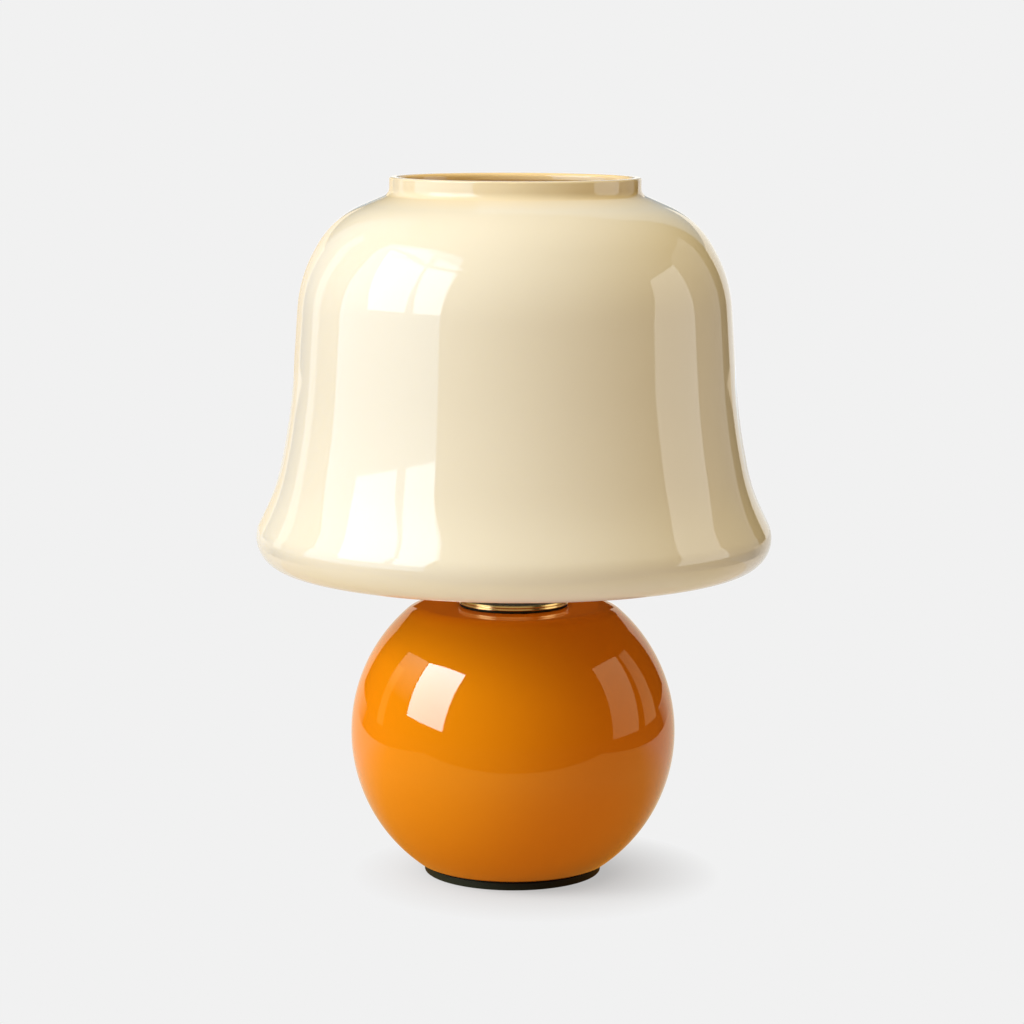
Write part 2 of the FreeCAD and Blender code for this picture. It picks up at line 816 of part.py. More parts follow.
def make_leads():
    level = "cell_floor + wire_radius"
    wires = []
    for side in ("", "-"):
        wires.append(tube_along([
            (side + "wire_place", "lead_place", "board_top"),
            (side + "wire_place", "lead_place", level),
            (side + "cell_place", "tab_reach - wire_radius", level),
        ], "wire_radius", "wire_bend"))
    cable = tube_along([
        ("0", "lead_place", "board_top"),
        ("0", "lead_place", "bend_start"),
        ("0", "0", "bend_end"),
        ("0", "0", "core_top"),
    ], "cable_radius", "cable_bend")
    return [tube_node("battery_lead", wires), tube_node("led_cable", [cable])]


# ---------------------------------------------------------------- tie tube, collar and stem
def make_tie_tube():
    tube_foot = "foot_pad + tube_inset"
    tube_head = "head_floor + tube_past_plate"
    body = ring("tie_tube", "tube_bore", "tube_radius", tube_foot, tube_head)
    window = new_sketch(body, "window_outline", "XZ_Plane")
    window_middle = "bend_end - window_height / 4"
    add_box(window, "-window_width / 2", window_middle + " - window_height / 2",
            "window_width / 2", window_middle + " + window_height / 2", "window_width / 4")
    pocket(body, window, "cable_window", "tube_radius * 2")
    return body


def make_collar():
    gasket = ring("upper_gasket", "ball_neck", "collar_gasket_radius", "ball_top", "collar_floor")
    collar_bore = "collar_radius - collar_wall"
    collar_top = "collar_floor + collar_height"
    collar = ring("collar_ring", collar_bore, "collar_radius", "collar_floor", collar_top)
    fillet_rim(collar, "collar_round", "collar_edge",
               ("collar_radius", collar_top), (collar_bore, collar_top))
    plate = new_body("collar_plate")
    plate_edge = collar_bore + " - fit_gap"
    spigot = "ball_neck - spigot_gap"
    revolve(plate, "plate_section", [
        ("tube_hole", "ball_ceiling"),
        (spigot, "ball_ceiling"),
        (spigot, "collar_floor"),
        (plate_edge, "collar_floor"),
        (plate_edge, "stem_floor"),
        ("tube_hole", "stem_floor"),
    ])
    return [gasket, collar, plate]


def make_stem():
    stem_bore = "stem_radius - stem_wall"
    sleeve = ring("stem_sleeve", stem_bore, "stem_radius", "stem_floor", "stem_top")
    bushes = new_body("stem_bushes")
    bush_inner = "tube_radius + fit_gap"
    bush_outer = stem_bore + " - fit_gap"
    for name, low, high in (
        ("lower_bush", "stem_floor", "stem_floor + bush_length"),
        ("upper_bush", "stem_top - bush_length", "stem_top"),
    ):
        revolve(bushes, name, [(bush_inner, low), (bush_outer, low), (bush_outer, high), (bush_inner, high)])
    return [sleeve, bushes]


# ---------------------------------------------------------------- light head
def make_head_base():
    body = new_body("head_base")
    rim_bore = "head_radius - head_rim"
    rim_top = "head_floor + head_rim_height"
    revolve(body, "head_base_section", [
        ("tube_hole", "stem_top"),
        ("head_radius", "stem_top"),
        ("head_radius", rim_top),
        (rim_bore, rim_top),
        (rim_bore, "head_floor"),
        ("tube_hole", "head_floor"),
    ])
    fillet_rim(body, "head_base_round", "head_edge", ("head_radius", "stem_top"))
    bore = round_holes(body, "core_screw_bore", [
        ("-head_screw_circle", "0", "head_screw_radius + screw_gap"),
    ], "stem_top", "head_plate")
    sink = round_holes(body, "core_screw_sink", [
        ("-head_screw_circle", "0", "head_screw_head + screw_gap"),
    ], "stem_top", "head_screw_head_height + screw_gap")
    polar(body, [bore, sink], "core_screw_holes", "3")
    return body


def make_led_core():
    body = new_body("led_core")
    outline = new_sketch(body, "core_outline", "XY_Plane", "head_floor")
    add_hexagon(outline, "0", "0", "core_flats")
    pad(body, outline, "core_pad", "core_length")
    round_holes(body, "nut_pocket", [("0", "0", "core_pocket")], "head_floor", "core_pocket_depth")
    round_holes(body, "core_bore", [("0", "0", "tube_hole")], "head_floor", "core_length")
    place = ("-head_screw_circle", "0", "head_screw_radius + nut_gap")
    low = round_holes(body, "low_thread", [place], "head_floor", "head_screw_length")
    high = round_holes(body, "high_thread", [place], "core_top", "head_screw_length", upwards=False)
    polar(body, [low, high], "core_threads", "3")
    return body


def make_led_boards():
    boards = new_body("led_boards")
    face = "core_flats / 2"
    floor = "head_floor + led_board_start"
    outline = new_sketch(boards, "led_board_outline", "YZ_Plane", face)
    add_box(outline, "-led_board_width / 2", floor, "led_board_width / 2", floor + " + led_board_length")
    board = pad(boards, outline, "led_board", "led_board_thickness")
    polar(boards, [board], "led_board_set", "3")
    chips = new_body("led_chips")
    rows = new_sketch(chips, "chip_outlines", "YZ_Plane", face + " + led_board_thickness")
    spread = "%s + led_board_length / 2 + (%.1f) * chip_pitch"
    for number in range(int(value("chip_count"))):
        middle = spread % (floor, number - (value("chip_count") - 1) / 2)
        add_box(rows, "-chip_size / 2", middle + " - chip_size / 2",
                "chip_size / 2", middle + " + chip_size / 2")
    row_of_chips = pad(chips, rows, "chip_row", "chip_height")
    polar(chips, [row_of_chips], "chip_rows", "3")
    return [boards, chips]


def make_head_fasteners():
    washer = ring("top_washer", "tube_hole", "washer_radius", "head_floor", "head_floor + washer_height")
    nut = hex_nut("top_nut", "head_floor + washer_height")
    core_screws = screws(
        "core_screws",
        ("-head_screw_circle", "0"),
        "3",
        ("head_screw_head", "stem_top", "head_screw_head_height"),
        ("head_screw_radius", "stem_top + head_screw_head_height", "head_screw_length"),
        "head_screw_drive",
        False,
    )
    head_screws = screws(
        "head_screws",
        ("-head_screw_circle", "0"),
        "3",
        ("head_screw_head", "head_top - head_screw_head_height", "head_screw_head_height"),
        ("head_screw_radius", "core_top - head_screw_length + screw_reach",
         "head_cap_height - head_screw_head_height + head_screw_length - screw_reach"),
        "head_screw_drive",
        True,
    )
    return [washer, nut, core_screws, head_screws]


def make_diffuser():
    inner = "diffuser_radius - diffuser_wall"
    return ring("diffuser", inner, "diffuser_radius", "head_floor", "core_top")


def make_head_cap():
    body = new_body("head_cap")
    skirt_bore = "head_radius - head_rim"
    cavity = "diffuser_radius - diffuser_wall"
    shoulder = "core_top + shoulder_gap"
    skirt_foot = "core_top - head_cap_skirt"
    button_bore = "button_radius + button_gap"
    revolve(body, "head_cap_section", [
        (skirt_bore, skirt_foot),
        ("head_radius", skirt_foot),
        ("head_radius", "head_top"),
        ("bushing_radius", "head_top"),
        ("bushing_radius", "bushing_top"),
        (button_bore, "bushing_top"),
        (button_bore, "head_ceiling"),
        (cavity, "head_ceiling"),
        (cavity, shoulder),
        (skirt_bore, shoulder),
    ])
    fillet_rim(body, "head_cap_round", "head_edge", ("head_radius", "head_top"))
    pillar = disc_pad(body, "pillar", [("-head_screw_circle", "0", "pillar_radius")], "core_top",
                      "head_ceiling - core_top")
    bore = round_holes(body, "head_screw_bore", [
        ("-head_screw_circle", "0", "head_screw_radius + screw_gap"),
    ], "core_top", "head_cap_height")
    sink = round_holes(body, "head_screw_sink", [
        ("-head_screw_circle", "0", "head_screw_head + screw_gap"),
    ], "head_top", "head_screw_head_height", upwards=False)
    polar(body, [pillar, bore, sink], "pillars", "3")
    return body


# ---------------------------------------------------------------- switch and button
def make_switch():
    board = new_body("switch_board")
    disc_pad(board, "switch_disc", [("0", "0", "switch_board_radius")], "core_top", "board_thickness")
    housing = new_body("switch_housing")
    outline = new_sketch(housing, "switch_outline", "XY_Plane", "switch_floor_level")
    half = "switch_side / 2"
    add_box(outline, "-" + half, "-" + half, half, half)
    pad(housing, outline, "switch_pad", "switch_height")
    round_holes(housing, "plunger_bore", [("0", "0", "plunger_radius + plunger_gap")], "switch_top",
                "switch_height - switch_floor", upwards=False)
    plunger = new_body("switch_plunger")
    disc_pad(plunger, "plunger_pad", [("0", "0", "plunger_radius")], "plunger_floor",
             "plunger_top - plunger_floor")
    return [board, housing, plunger]


def make_button_spring():
    body = new_body("button_spring")
    floor = "switch_floor_level + spring_wire + spring_seat"
    section = new_sketch(body, "wire_section", "XZ_Plane")
    add_circle(section, "spring_radius", floor, "spring_wire")
    coil = body.newObject("PartDesign::AdditiveHelix", "coil")
    coil.Profile = section
    coil.ReferenceAxis = (section, ["V_Axis"])
    coil.Mode = 0
    rise = "flange_floor - spring_wire - spring_seat - (%s)" % floor
    bind(coil, "Height", rise)
    bind(coil, "Pitch", "(%s) / spring_turns" % rise)
    doc.recompute()
    return body


def make_dimmer_button():
    body = new_body("dimmer_button")
    dish_floor = "button_top - button_dish"
    dish_radius = "button_radius - 2 * button_edge"
    revolve(body, "button_section", [
        ("0", "plunger_top"),
        ("button_stem", "plunger_top"),
        ("button_stem", "flange_floor"),
        ("button_flange", "flange_floor"),
        ("button_flange", "flange_top"),
        ("button_radius", "flange_top"),
        ("button_radius", "button_top"),
        (dish_radius, "button_top"),
        (dish_radius + " - button_dish", dish_floor),
        ("0", dish_floor),
    ])
    fillet_rim(body, "button_round", "button_edge", ("button_radius", "button_top"))
    return body


# ---------------------------------------------------------------- carrier under the shade
def make_shade_carrier():
    body = new_body("shade_carrier")
    disc_pad(body, "seat_ring", [
        ("0", "0", "seat_ring_outer"),
        ("0", "0", "seat_ring_inner"),
    ], "head_top", "carrier_thickness")
    disc_pad(body, "hub", [("0", "0", "carrier_hub")], "head_top", "carrier_thickness")
    arm_outline = new_sketch(body, "arm_outline", "XY_Plane", "head_top")
    add_box(arm_outline, "bushing_radius", "-arm_width / 2", "seat_radius", "arm_width / 2")
    arm = pad(body, arm_outline, "arm", "carrier_thickness")
    polar(body, [arm], "arms", "arm_count")
    round_holes(body, "hub_bore", [("0", "0", "bushing_radius + fit_gap")], "head_top", "carrier_thickness")
    return body


def make_carrier_pads():
    body = new_body("carrier_pads")
    inner = "seat_radius - pad_width / 2"
    outer = "seat_radius + pad_width / 2"
    seat = "plate_top + pad_height"
    drop = "shoulder_slope * pad_width / 2"
    single = revolve(body, "pad_section", [
        (inner, "plate_top"),
        (outer, "plate_top"),
        (outer, "%s - %s" % (seat, drop)),
        (inner, "%s + %s" % (seat, drop)),
    ], angle="pad_angle")
    polar(body, [single], "pad_set", "arm_count")
    return body


def make_carrier_nut():
    body = ring("carrier_nut", "bushing_radius + fit_gap", "ring_nut_radius", "plate_top",
                "plate_top + ring_nut_height")
    groove = round_holes(body, "knurl", [("ring_nut_radius", "0", "knurl_radius")], "plate_top",
                         "ring_nut_height")
    polar(body, [groove], "knurls", "knurl_count")
    return body


# ---------------------------------------------------------------- glass bell
def make_glass_shade():
    """The wall is the outer outline offset inwards, turned about the axis; the neck gets a thicker lip."""
    outline = doc.addObject("Sketcher::SketchObject", "shade_outline")
    outline.Placement = FreeCAD.Placement(FreeCAD.Vector(), FreeCAD.Rotation(FreeCAD.Vector(1, 0, 0), 90))
    add_outline(outline, [
        ("shade_mouth", "0"),
        ("shade_curl", "0"),
        ("shade_waist", "waist_rise"),
        ("shade_side", "side_level"),
        ("shade_crown", "crown_level"),
        ("shade_shoulder", "shoulder_level"),
        ("shade_neck", "neck_level"),
        ("shade_neck", "shade_height"),
    ], closed=False)
    round_corners(outline, 0, [
        "curl_bend", "waist_bend", "side_bend", "crown_bend", "shoulder_bend", "neck_bend",
    ])
    wall = doc.addObject("Part::Offset2D", "shade_wall_section")
    wall.Source = outline
    wall.Mode = "Skin"
    wall.Fill = True
    bind(wall, "Value", "shade_wall")
    turned = doc.addObject("Part::Revolution", "shade_turned")
    turned.Source = wall
    turned.Axis = FreeCAD.Vector(0, 0, 1)
    turned.Angle = 360
    turned.Solid = True
    doc.recompute()
    body = new_body("glass_shade")
    body.BaseFeature = turned
    doc.recompute()
    lip_bore = "shade_neck - lip_thickness"
    lip_back = "shade_neck - shade_wall / 2"
    lip_foot = "shade_height - lip_height"
    revolve(body, "lip", [
        (lip_bore, lip_foot),
        (lip_bore, "shade_height"),
        (lip_back, "shade_height"),
        (lip_back, lip_foot + " - lip_slope"),
    ])
    fillet_rim(body, "lip_outer_round", "lip_outer_edge", ("shade_neck", "shade_height"))
    fillet_rim(body, "lip_inner_round", "lip_inner_edge", (lip_bore, "shade_height"))
    fillet_rim(body, "rim_rounds", "rim_edge", ("shade_mouth", "0"), ("shade_mouth", "shade_wall"))
    bind(body, ".Placement.Base.z", "shade_floor")
    doc.recompute()
    return body


# ---------------------------------------------------------------- assembly and export
def collect(made):
    return made if isinstance(made, list) else [made]


makers = [
    make_foot_ring, make_bottom_cap, make_bottom_fasteners, make_lower_gasket, make_glass_base,
    make_charge_board, make_usb_c_port, make_ballast_weight,
    make_battery_carrier, make_battery_cells, make_battery_contacts, make_carrier_screws, make_leads,
    make_tie_tube, make_collar, make_stem,
    make_head_base, make_led_core, make_led_boards, make_head_fasteners, make_diffuser, make_head_cap,
    make_switch, make_button_spring, make_dimmer_button,
    make_shade_carrier, make_carrier_pads, make_carrier_nut, make_glass_shade,
]
nodes = []
for maker in makers:
    nodes.extend(collect(maker()))
doc.recompute()

for item in doc.Objects:
    if "Invalid" in item.State or "Error" in item.State:
        raise ValueError("%s failed: %s" % (item.Name, item.State))
for node in nodes:
    if node.Shape.isNull() or not node.Shape.isValid():
        raise ValueError("%s has no valid shape" % node.Label)

os.makedirs("parts", exist_ok=True)
for node in nodes:
    node.Shape.exportStep("parts/%s.step" % node.Label)
    print("%-18s %2d solids %10.1f mm3" % (node.Label, len(node.Shape.Solids), node.Shape.Volume))
print("height %.2f mm" % value("shade_floor + shade_height"))
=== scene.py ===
"""Looks of the mushroom table lamp: a glass ball base, a brass stem and light head, a glass bell shade."""
import json
import math

import bmesh
import bpy
from mathutils import Matrix, Vector


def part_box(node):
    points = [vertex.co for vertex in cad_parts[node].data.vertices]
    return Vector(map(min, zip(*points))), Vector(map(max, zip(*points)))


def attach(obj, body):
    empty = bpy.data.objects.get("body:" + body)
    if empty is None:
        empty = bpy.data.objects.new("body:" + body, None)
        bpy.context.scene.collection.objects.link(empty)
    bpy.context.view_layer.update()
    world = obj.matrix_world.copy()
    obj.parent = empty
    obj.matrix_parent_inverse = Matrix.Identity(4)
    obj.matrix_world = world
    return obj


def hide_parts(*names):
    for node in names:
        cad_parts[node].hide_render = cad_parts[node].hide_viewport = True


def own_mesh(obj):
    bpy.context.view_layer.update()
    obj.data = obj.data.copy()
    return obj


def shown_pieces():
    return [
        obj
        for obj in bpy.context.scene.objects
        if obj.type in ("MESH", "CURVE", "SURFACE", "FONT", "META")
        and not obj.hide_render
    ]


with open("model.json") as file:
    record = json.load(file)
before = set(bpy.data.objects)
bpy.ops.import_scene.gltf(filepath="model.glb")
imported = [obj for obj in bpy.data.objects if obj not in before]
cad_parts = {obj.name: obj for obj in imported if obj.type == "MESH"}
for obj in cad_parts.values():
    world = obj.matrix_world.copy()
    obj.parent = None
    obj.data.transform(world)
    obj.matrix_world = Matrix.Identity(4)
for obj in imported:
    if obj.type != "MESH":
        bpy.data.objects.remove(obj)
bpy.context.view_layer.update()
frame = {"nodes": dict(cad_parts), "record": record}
NODES = frame["nodes"]
MM = 0.001


# ---------------------------------------------------------------- shader nodes
class Shader:
    """A node tree under construction; most helpers return an output socket."""

    def __init__(self, name, world=None):
        owner = world or bpy.data.materials.new(name)
        owner.use_nodes = True
        self.owner = owner
        self.tree = owner.node_tree
        self.tree.nodes.clear()

    @classmethod
    def of(cls, tree):
        """Work on a tree that already exists, emptied first."""
        made = cls.__new__(cls)
        made.owner = made.tree = tree
        tree.nodes.clear()
        return made

    def node(self, kind, settings=None, **inputs):
        """A new node; an input goes by its name, with _ for each space, or by its number as _0, _1, _2."""
        made = self.tree.nodes.new("ShaderNode" + kind)
        for key, word in (settings or {}).items():
            setattr(made, key, word)
        for key, given in inputs.items():
            numbered = key[0] == "_" and key[1:].isdigit()
            socket = made.inputs[int(key[1:]) if numbered else key.replace("_", " ")]
            if isinstance(given, bpy.types.NodeSocket):
                self.tree.links.new(given, socket)
            else:
                socket.default_value = given
        return made

    def place(self):
        return self.node("TexCoord").outputs["Object"]

    def noise(self, scale, detail=3.0, roughness=0.5, stretch=None):
        place = self.place()
        if stretch:
            place = self.node("Mapping", Vector=place, Scale=stretch).outputs["Vector"]
        return self.node("TexNoise", Vector=place, Scale=scale, Detail=detail, Roughness=roughness).outputs["Fac"]

    def math(self, operation, a, b=0.0, clamp=False):
        return self.node("Math", {"operation": operation, "use_clamp": clamp}, _0=a, _1=b).outputs[0]

    def split(self, vector):
        """The X, Y and Z sockets of a vector."""
        return self.node("SeparateXYZ", Vector=vector).outputs

    def minus(self, vector, other):
        return self.node("VectorMath", {"operation": "SUBTRACT"}, _0=vector, _1=other).outputs[0]

    def length(self, vector):
        return self.node("VectorMath", {"operation": "LENGTH"}, _0=vector).outputs["Value"]

    def fit(self, source, low, high, to_low, to_high):
        """Carry the range low to high over to another range, and stop at its ends."""
        return self.node("MapRange", {"clamp": True}, Value=source, From_Min=low, From_Max=high,
                         To_Min=to_low, To_Max=to_high).outputs["Result"]

    def mix(self, factor, first, second):
        """A blend of two colours, each a socket or three numbers."""
        made = self.tree.nodes.new("ShaderNodeMix")
        made.data_type = "RGBA"
        for index, given in ((0, factor), (6, first), (7, second)):
            if isinstance(given, bpy.types.NodeSocket):
                self.tree.links.new(given, made.inputs[index])
            elif index == 0:
                made.inputs[index].default_value = given
            else:
                made.inputs[index].default_value = (*given, 1.0)
        return made.outputs[2]

    def bump(self, height, strength, distance):
        return self.node("Bump", Height=height, Strength=strength, Distance=distance).outputs["Normal"]

    def emission(self, colour, strength=1.0):
        return self.node("Emission", Color=colour, Strength=strength).outputs[0]

    def either(self, factor, first, second):
        """A blend of two shaders."""
        return self.node("MixShader", _0=factor, _1=first, _2=second).outputs[0]

    def surface(self, **inputs):
        """A Principled surface as the material's output; returns the material."""
        made = self.node("BsdfPrincipled", **inputs)
        self.output(made.outputs[0])
        return self.owner

    def output(self, socket):
        kind = "OutputWorld" if isinstance(self.owner, bpy.types.World) else "OutputMaterial"
        end = self.tree.nodes.new("ShaderNode" + kind)
        self.tree.links.new(socket, end.inputs["Surface"])


NECK_SHADE_BLEND = 4.0 * MM


def glass(name, colour, deep, roughness, neck=None):
    """Opaque cased glass: an even colour with faint drifts, a fire-polished skin with slow waves.

    A neck is (height, radius, outer painted shade, inner painted shade): above the height the glass colour is painted
    deeper and warmer, as shade and light bounced in the neck, most of all on its inside.
    """
    s = Shader(name)
    drift = s.noise(9.0, 2.0, 0.45)
    streak = s.noise(60.0, 3.0, 0.6, stretch=(1.0, 1.0, 0.12))
    tone = s.mix(s.fit(drift, 0.3, 0.7, 0.0, 1.0), colour, deep)
    tone = s.mix(s.fit(streak, 0.35, 0.75, 0.0, 0.10), tone, deep)
    # painted shade and bounced light: above the neck's height the colour is made deeper and warmer, more so on the
    # inside
    if neck:
        height, radius, outer_painted_shade, inner_painted_shade = neck
        at = s.split(s.place())
        reach = s.math("SQRT", s.math("ADD", *[s.math("MULTIPLY", at[axis], at[axis]) for axis in "XY"]))
        above = s.fit(at["Z"], height - NECK_SHADE_BLEND, height, 0.0, 1.0)
        tone = s.mix(above, tone, outer_painted_shade)
        tone = s.mix(s.math("MULTIPLY", above, s.math("LESS_THAN", reach, radius)), tone, inner_painted_shade)
    waves = s.noise(22.0, 1.0, 0.4)
    skin = s.noise(700.0, 2.0, 0.5)
    normal = s.bump(waves, 0.012, 0.004)
    rough = s.fit(skin, 0.3, 0.7, roughness * 0.8, roughness * 1.3)
    return s.surface(Base_Color=tone, Roughness=rough, IOR=1.5, Normal=normal)


def metal(name, colour, dark, roughness, grain, coat=0.0, turned=False):
    """A metal with fine grain; turned pieces have rings along the axis."""
    s = Shader(name)
    stretch = (0.04, 0.04, 1.0) if turned else (1.0, 1.0, 1.0)
    lines = s.noise(grain, 4.0, 0.6, stretch=stretch)
    cloud = s.noise(40.0, 3.0, 0.55)
    tone = s.mix(s.fit(cloud, 0.35, 0.8, 0.0, 0.45), colour, dark)
    rough = s.math("ADD", s.fit(cloud, 0.3, 0.7, roughness * 0.75, roughness * 1.2),
                   s.fit(lines, 0.3, 0.7, 0.0, roughness * 0.35))
    normal = s.bump(lines, 0.06, 0.0004)
    return s.surface(Base_Color=tone, Metallic=1.0, Roughness=rough, Normal=normal,
                     Coat_Weight=coat, Coat_Roughness=0.08)


def plastic(name, colour, worn, roughness, grain=900.0, depth=0.12, shine=0.5):
    """Moulded plastic or rubber with a fine texture and slight colour drift."""
    s = Shader(name)
    fine = s.noise(grain, 3.0, 0.6)
    cloud = s.noise(30.0, 3.0, 0.5)
    tone = s.mix(s.fit(cloud, 0.4, 0.75, 0.0, 0.5), colour, worn)
    rough = s.fit(fine, 0.3, 0.7, roughness * 0.85, min(1.0, roughness * 1.15))
    return s.surface(Base_Color=tone, Roughness=rough, IOR=1.46, Specular_IOR_Level=shine,
                     Normal=s.bump(fine, depth, 0.0003))


def clear_rubber(name):
    """Milky silicone that lets some light through."""
    s = Shader(name)
    fine = s.noise(500.0, 2.0, 0.5)
    return s.surface(Base_Color=(0.86, 0.85, 0.81, 1.0), Roughness=s.fit(fine, 0.3, 0.7, 0.25, 0.4), IOR=1.41,
                     Transmission_Weight=0.55, Normal=s.bump(fine, 0.08, 0.0003))


def opal(name):
    """Frosted white plastic of the light tube."""
    s = Shader(name)
    fine = s.noise(1100.0, 2.0, 0.5)
    tone = s.mix(s.fit(s.noise(25.0), 0.35, 0.7, 0.0, 1.0), (0.90, 0.885, 0.85), (0.86, 0.84, 0.80))
    return s.surface(Base_Color=tone, Roughness=s.fit(fine, 0.3, 0.7, 0.42, 0.55), IOR=1.49,
                     Subsurface_Weight=0.25, Subsurface_Scale=0.004, Normal=s.bump(fine, 0.05, 0.0002))


def board(name, mask, trace):
    """Solder mask with copper tracks that show through it."""
    s = Shader(name)
    place = s.place()
    rows = s.node("TexWave", {"wave_type": "BANDS", "bands_direction": "X"}, Vector=place, Scale=180.0,
                  Distortion=9.0, Detail=1.0, Detail_Scale=1.2).outputs["Fac"]
    tracks = s.fit(rows, 0.62, 0.70, 0.0, 0.6)
    tone = s.mix(tracks, mask, trace)
    return s.surface(Base_Color=tone, Roughness=0.32, Normal=s.bump(tracks, 0.15, 0.0002))


WRAP_FOOT, WRAP_TOP = 0.0279, 0.0897


def cell_wrap(name):
    """Shrink wrap round a battery cell, with a pale ring at each end and fine wrinkles."""
    s = Shader(name)
    height = s.split(s.place())["Z"]
    ring = s.math("ADD", s.math("GREATER_THAN", height, WRAP_TOP), s.math("LESS_THAN", height, WRAP_FOOT), clamp=True)
    wrinkle = s.noise(260.0, 3.0, 0.5, stretch=(1.0, 1.0, 0.2))
    tone = s.mix(ring, (0.06, 0.20, 0.46), (0.50, 0.51, 0.52))
    return s.surface(Base_Color=tone, Roughness=s.fit(wrinkle, 0.3, 0.7, 0.22, 0.36),
                     Normal=s.bump(wrinkle, 0.12, 0.0004))


# height, radius and the painted shade of the bell's neck, outside and inside
BELL_NECK_SHADE = (0.2925, 0.0509, (0.790, 0.640, 0.390), (0.900, 0.640, 0.290))
MATERIALS = {
    "orange_glass": glass("orange_glass", (0.745, 0.188, 0.0040), (0.720, 0.175, 0.0034), 0.03),
    "cream_glass": glass("cream_glass", (0.790, 0.695, 0.500), (0.765, 0.668, 0.468), 0.035, neck=BELL_NECK_SHADE),
    "brass": metal("brass", (0.83, 0.60, 0.27), (0.70, 0.46, 0.17), 0.17, 900.0, coat=0.25, turned=True),
    "black_rubber": plastic("black_rubber", (0.015, 0.017, 0.020), (0.021, 0.022, 0.024), 0.55, shine=0.12),
    "clear_silicone": clear_rubber("clear_silicone"),
    "black_plastic": plastic("black_plastic", (0.014, 0.014, 0.015), (0.026, 0.026, 0.027), 0.48, 1300.0, 0.25),
    "black_metal": plastic("black_metal", (0.010, 0.010, 0.010), (0.020, 0.019, 0.018), 0.38, 1100.0, 0.1),
    "zinc_steel": metal("zinc_steel", (0.62, 0.62, 0.63), (0.47, 0.47, 0.49), 0.32, 700.0),
    "raw_steel": metal("raw_steel", (0.40, 0.39, 0.39), (0.24, 0.22, 0.21), 0.42, 1100.0, turned=True),
    "aluminium": metal("aluminium", (0.78, 0.79, 0.80), (0.62, 0.63, 0.65), 0.30, 900.0),
    "circuit_board": board("circuit_board", (0.010, 0.115, 0.045), (0.035, 0.22, 0.07)),
    "white_board": board("white_board", (0.82, 0.82, 0.79), (0.72, 0.72, 0.69)),
    "led_phosphor": plastic("led_phosphor", (0.86, 0.62, 0.12), (0.78, 0.52, 0.08), 0.25, 1500.0, 0.05),
    "opal": opal("opal"),
    "cell_wrap": cell_wrap("cell_wrap"),
    "nickel": metal("nickel", (0.66, 0.63, 0.58), (0.50, 0.47, 0.43), 0.24, 800.0),
    "spring_steel": metal("spring_steel", (0.52, 0.52, 0.53), (0.34, 0.33, 0.33), 0.28, 1600.0),
    "lead_jacket": plastic("lead_jacket", (0.74, 0.74, 0.71), (0.64, 0.63, 0.60), 0.50),
    "white_nylon": plastic("white_nylon", (0.80, 0.79, 0.75), (0.72, 0.71, 0.67), 0.45),
}
for part in frame["record"]["subparts"]:
    slots = NODES[part["node"]].data.materials
    slots.clear()
    slots.append(MATERIALS[part["material_slot"]])

# ---------------------------------------------------------------- turned pieces, outlines in millimetres
LONGEST_ARC_STEP = 2.5
SHARP = math.radians(35.0)


def rounded(corners, step=5.0):
    """Points of a closed outline given as (radius, height, bend); each bend is a tangent arc."""
    points = []
    for index, (x, y, bend) in enumerate(corners):
        here = Vector((x, y))
        if not bend:
            points.append(here)
            continue
        back = Vector(corners[index - 1][:2]) - here
        ahead = Vector(corners[(index + 1) % len(corners)][:2]) - here
        back.normalize()
        ahead.normalize()
        half = back.angle(ahead) / 2
        middle = here + (back + ahead).normalized() * bend / math.sin(half)
        first = here + back * bend / math.tan(half) - middle
        last = here + ahead * bend / math.tan(half) - middle
        turn = math.atan2(first.x * last.y - first.y * last.x, first.dot(last))
        count = max(3, math.ceil(abs(math.degrees(turn)) / step), math.ceil(abs(turn) * bend / LONGEST_ARC_STEP))
        for part in range(count + 1):
            angle = turn * part / count
            points.append(middle + Matrix.Rotation(angle, 2) @ first)
    return [tuple(point) for point in points]


def arc(centre, radius, first, last, step=1.2):
    """Points of an arc in the outline's plane, angles in degrees from the outward axis."""
    count = math.ceil(abs(last - first) / step)
    made = []
    for part in range(count + 1):
        angle = math.radians(first + (last - first) * part / count)
        made.append((centre[0] + radius * math.cos(angle), centre[1] + radius * math.sin(angle)))
    return made


def bridge(mesh, first, second):
    """Faces between two closed rings of as many vertices."""
    for step in range(len(first)):
        after = (step + 1) % len(first)
        mesh.faces.new((first[step], first[after], second[after], second[step]))


def lathe(name, slot, outline, body, node, segments=288, shift=0.0):
    """Turn a closed outline about the axis, in place of a CAD node."""
    mesh = bmesh.new()
    rings = []
    for radius, height in outline:
        ring = []
        for step in range(segments):
            angle = 2 * math.pi * step / segments
            ring.append(mesh.verts.new((radius * math.cos(angle) * MM, radius * math.sin(angle) * MM,
                                        height * MM + shift)))
        rings.append(ring)
    for first, second in zip(rings, rings[1:] + rings[:1]):
        bridge(mesh, first, second)
    bmesh.ops.recalc_face_normals(mesh, faces=mesh.faces)
    return finish_piece(name, slot, mesh, body, node)


def finish_piece(name, slot, mesh, body, *nodes):
    """Make an object of a mesh that rides on a body and stands in for CAD nodes."""
    data = bpy.data.meshes.new(name)
    mesh.to_mesh(data)
    mesh.free()
    data.shade_smooth()
    data.set_sharp_from_angle(angle=SHARP)
    piece = bpy.data.objects.new(name, data)
    bpy.context.scene.collection.objects.link(piece)
    data.materials.append(MATERIALS[slot])
    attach(piece, body)
    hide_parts(*nodes)
    return piece


# glass bell: corners of its outside as (radius, height, bend); a negative bend is hollow seen from outside
WALL = 3.0
NECK = 53.4
BELL = [(118.0, 0.0, 12.8), (101.7, 33.6, -79.9), (95.4, 64.4, -256.4), (91.4, 123.2, 58.0), (77.3, 148.4, 40.0),
        (NECK, 158.6, -3.7)]
MOUTH, MOUTH_EDGE = 96.0, 1.35
BELL_TOP = 165.6
LIP_BORE, LIP_FOOT = 49.1, 162.4
NECK_BORE, LIP_ROOT = 50.4, 161.84


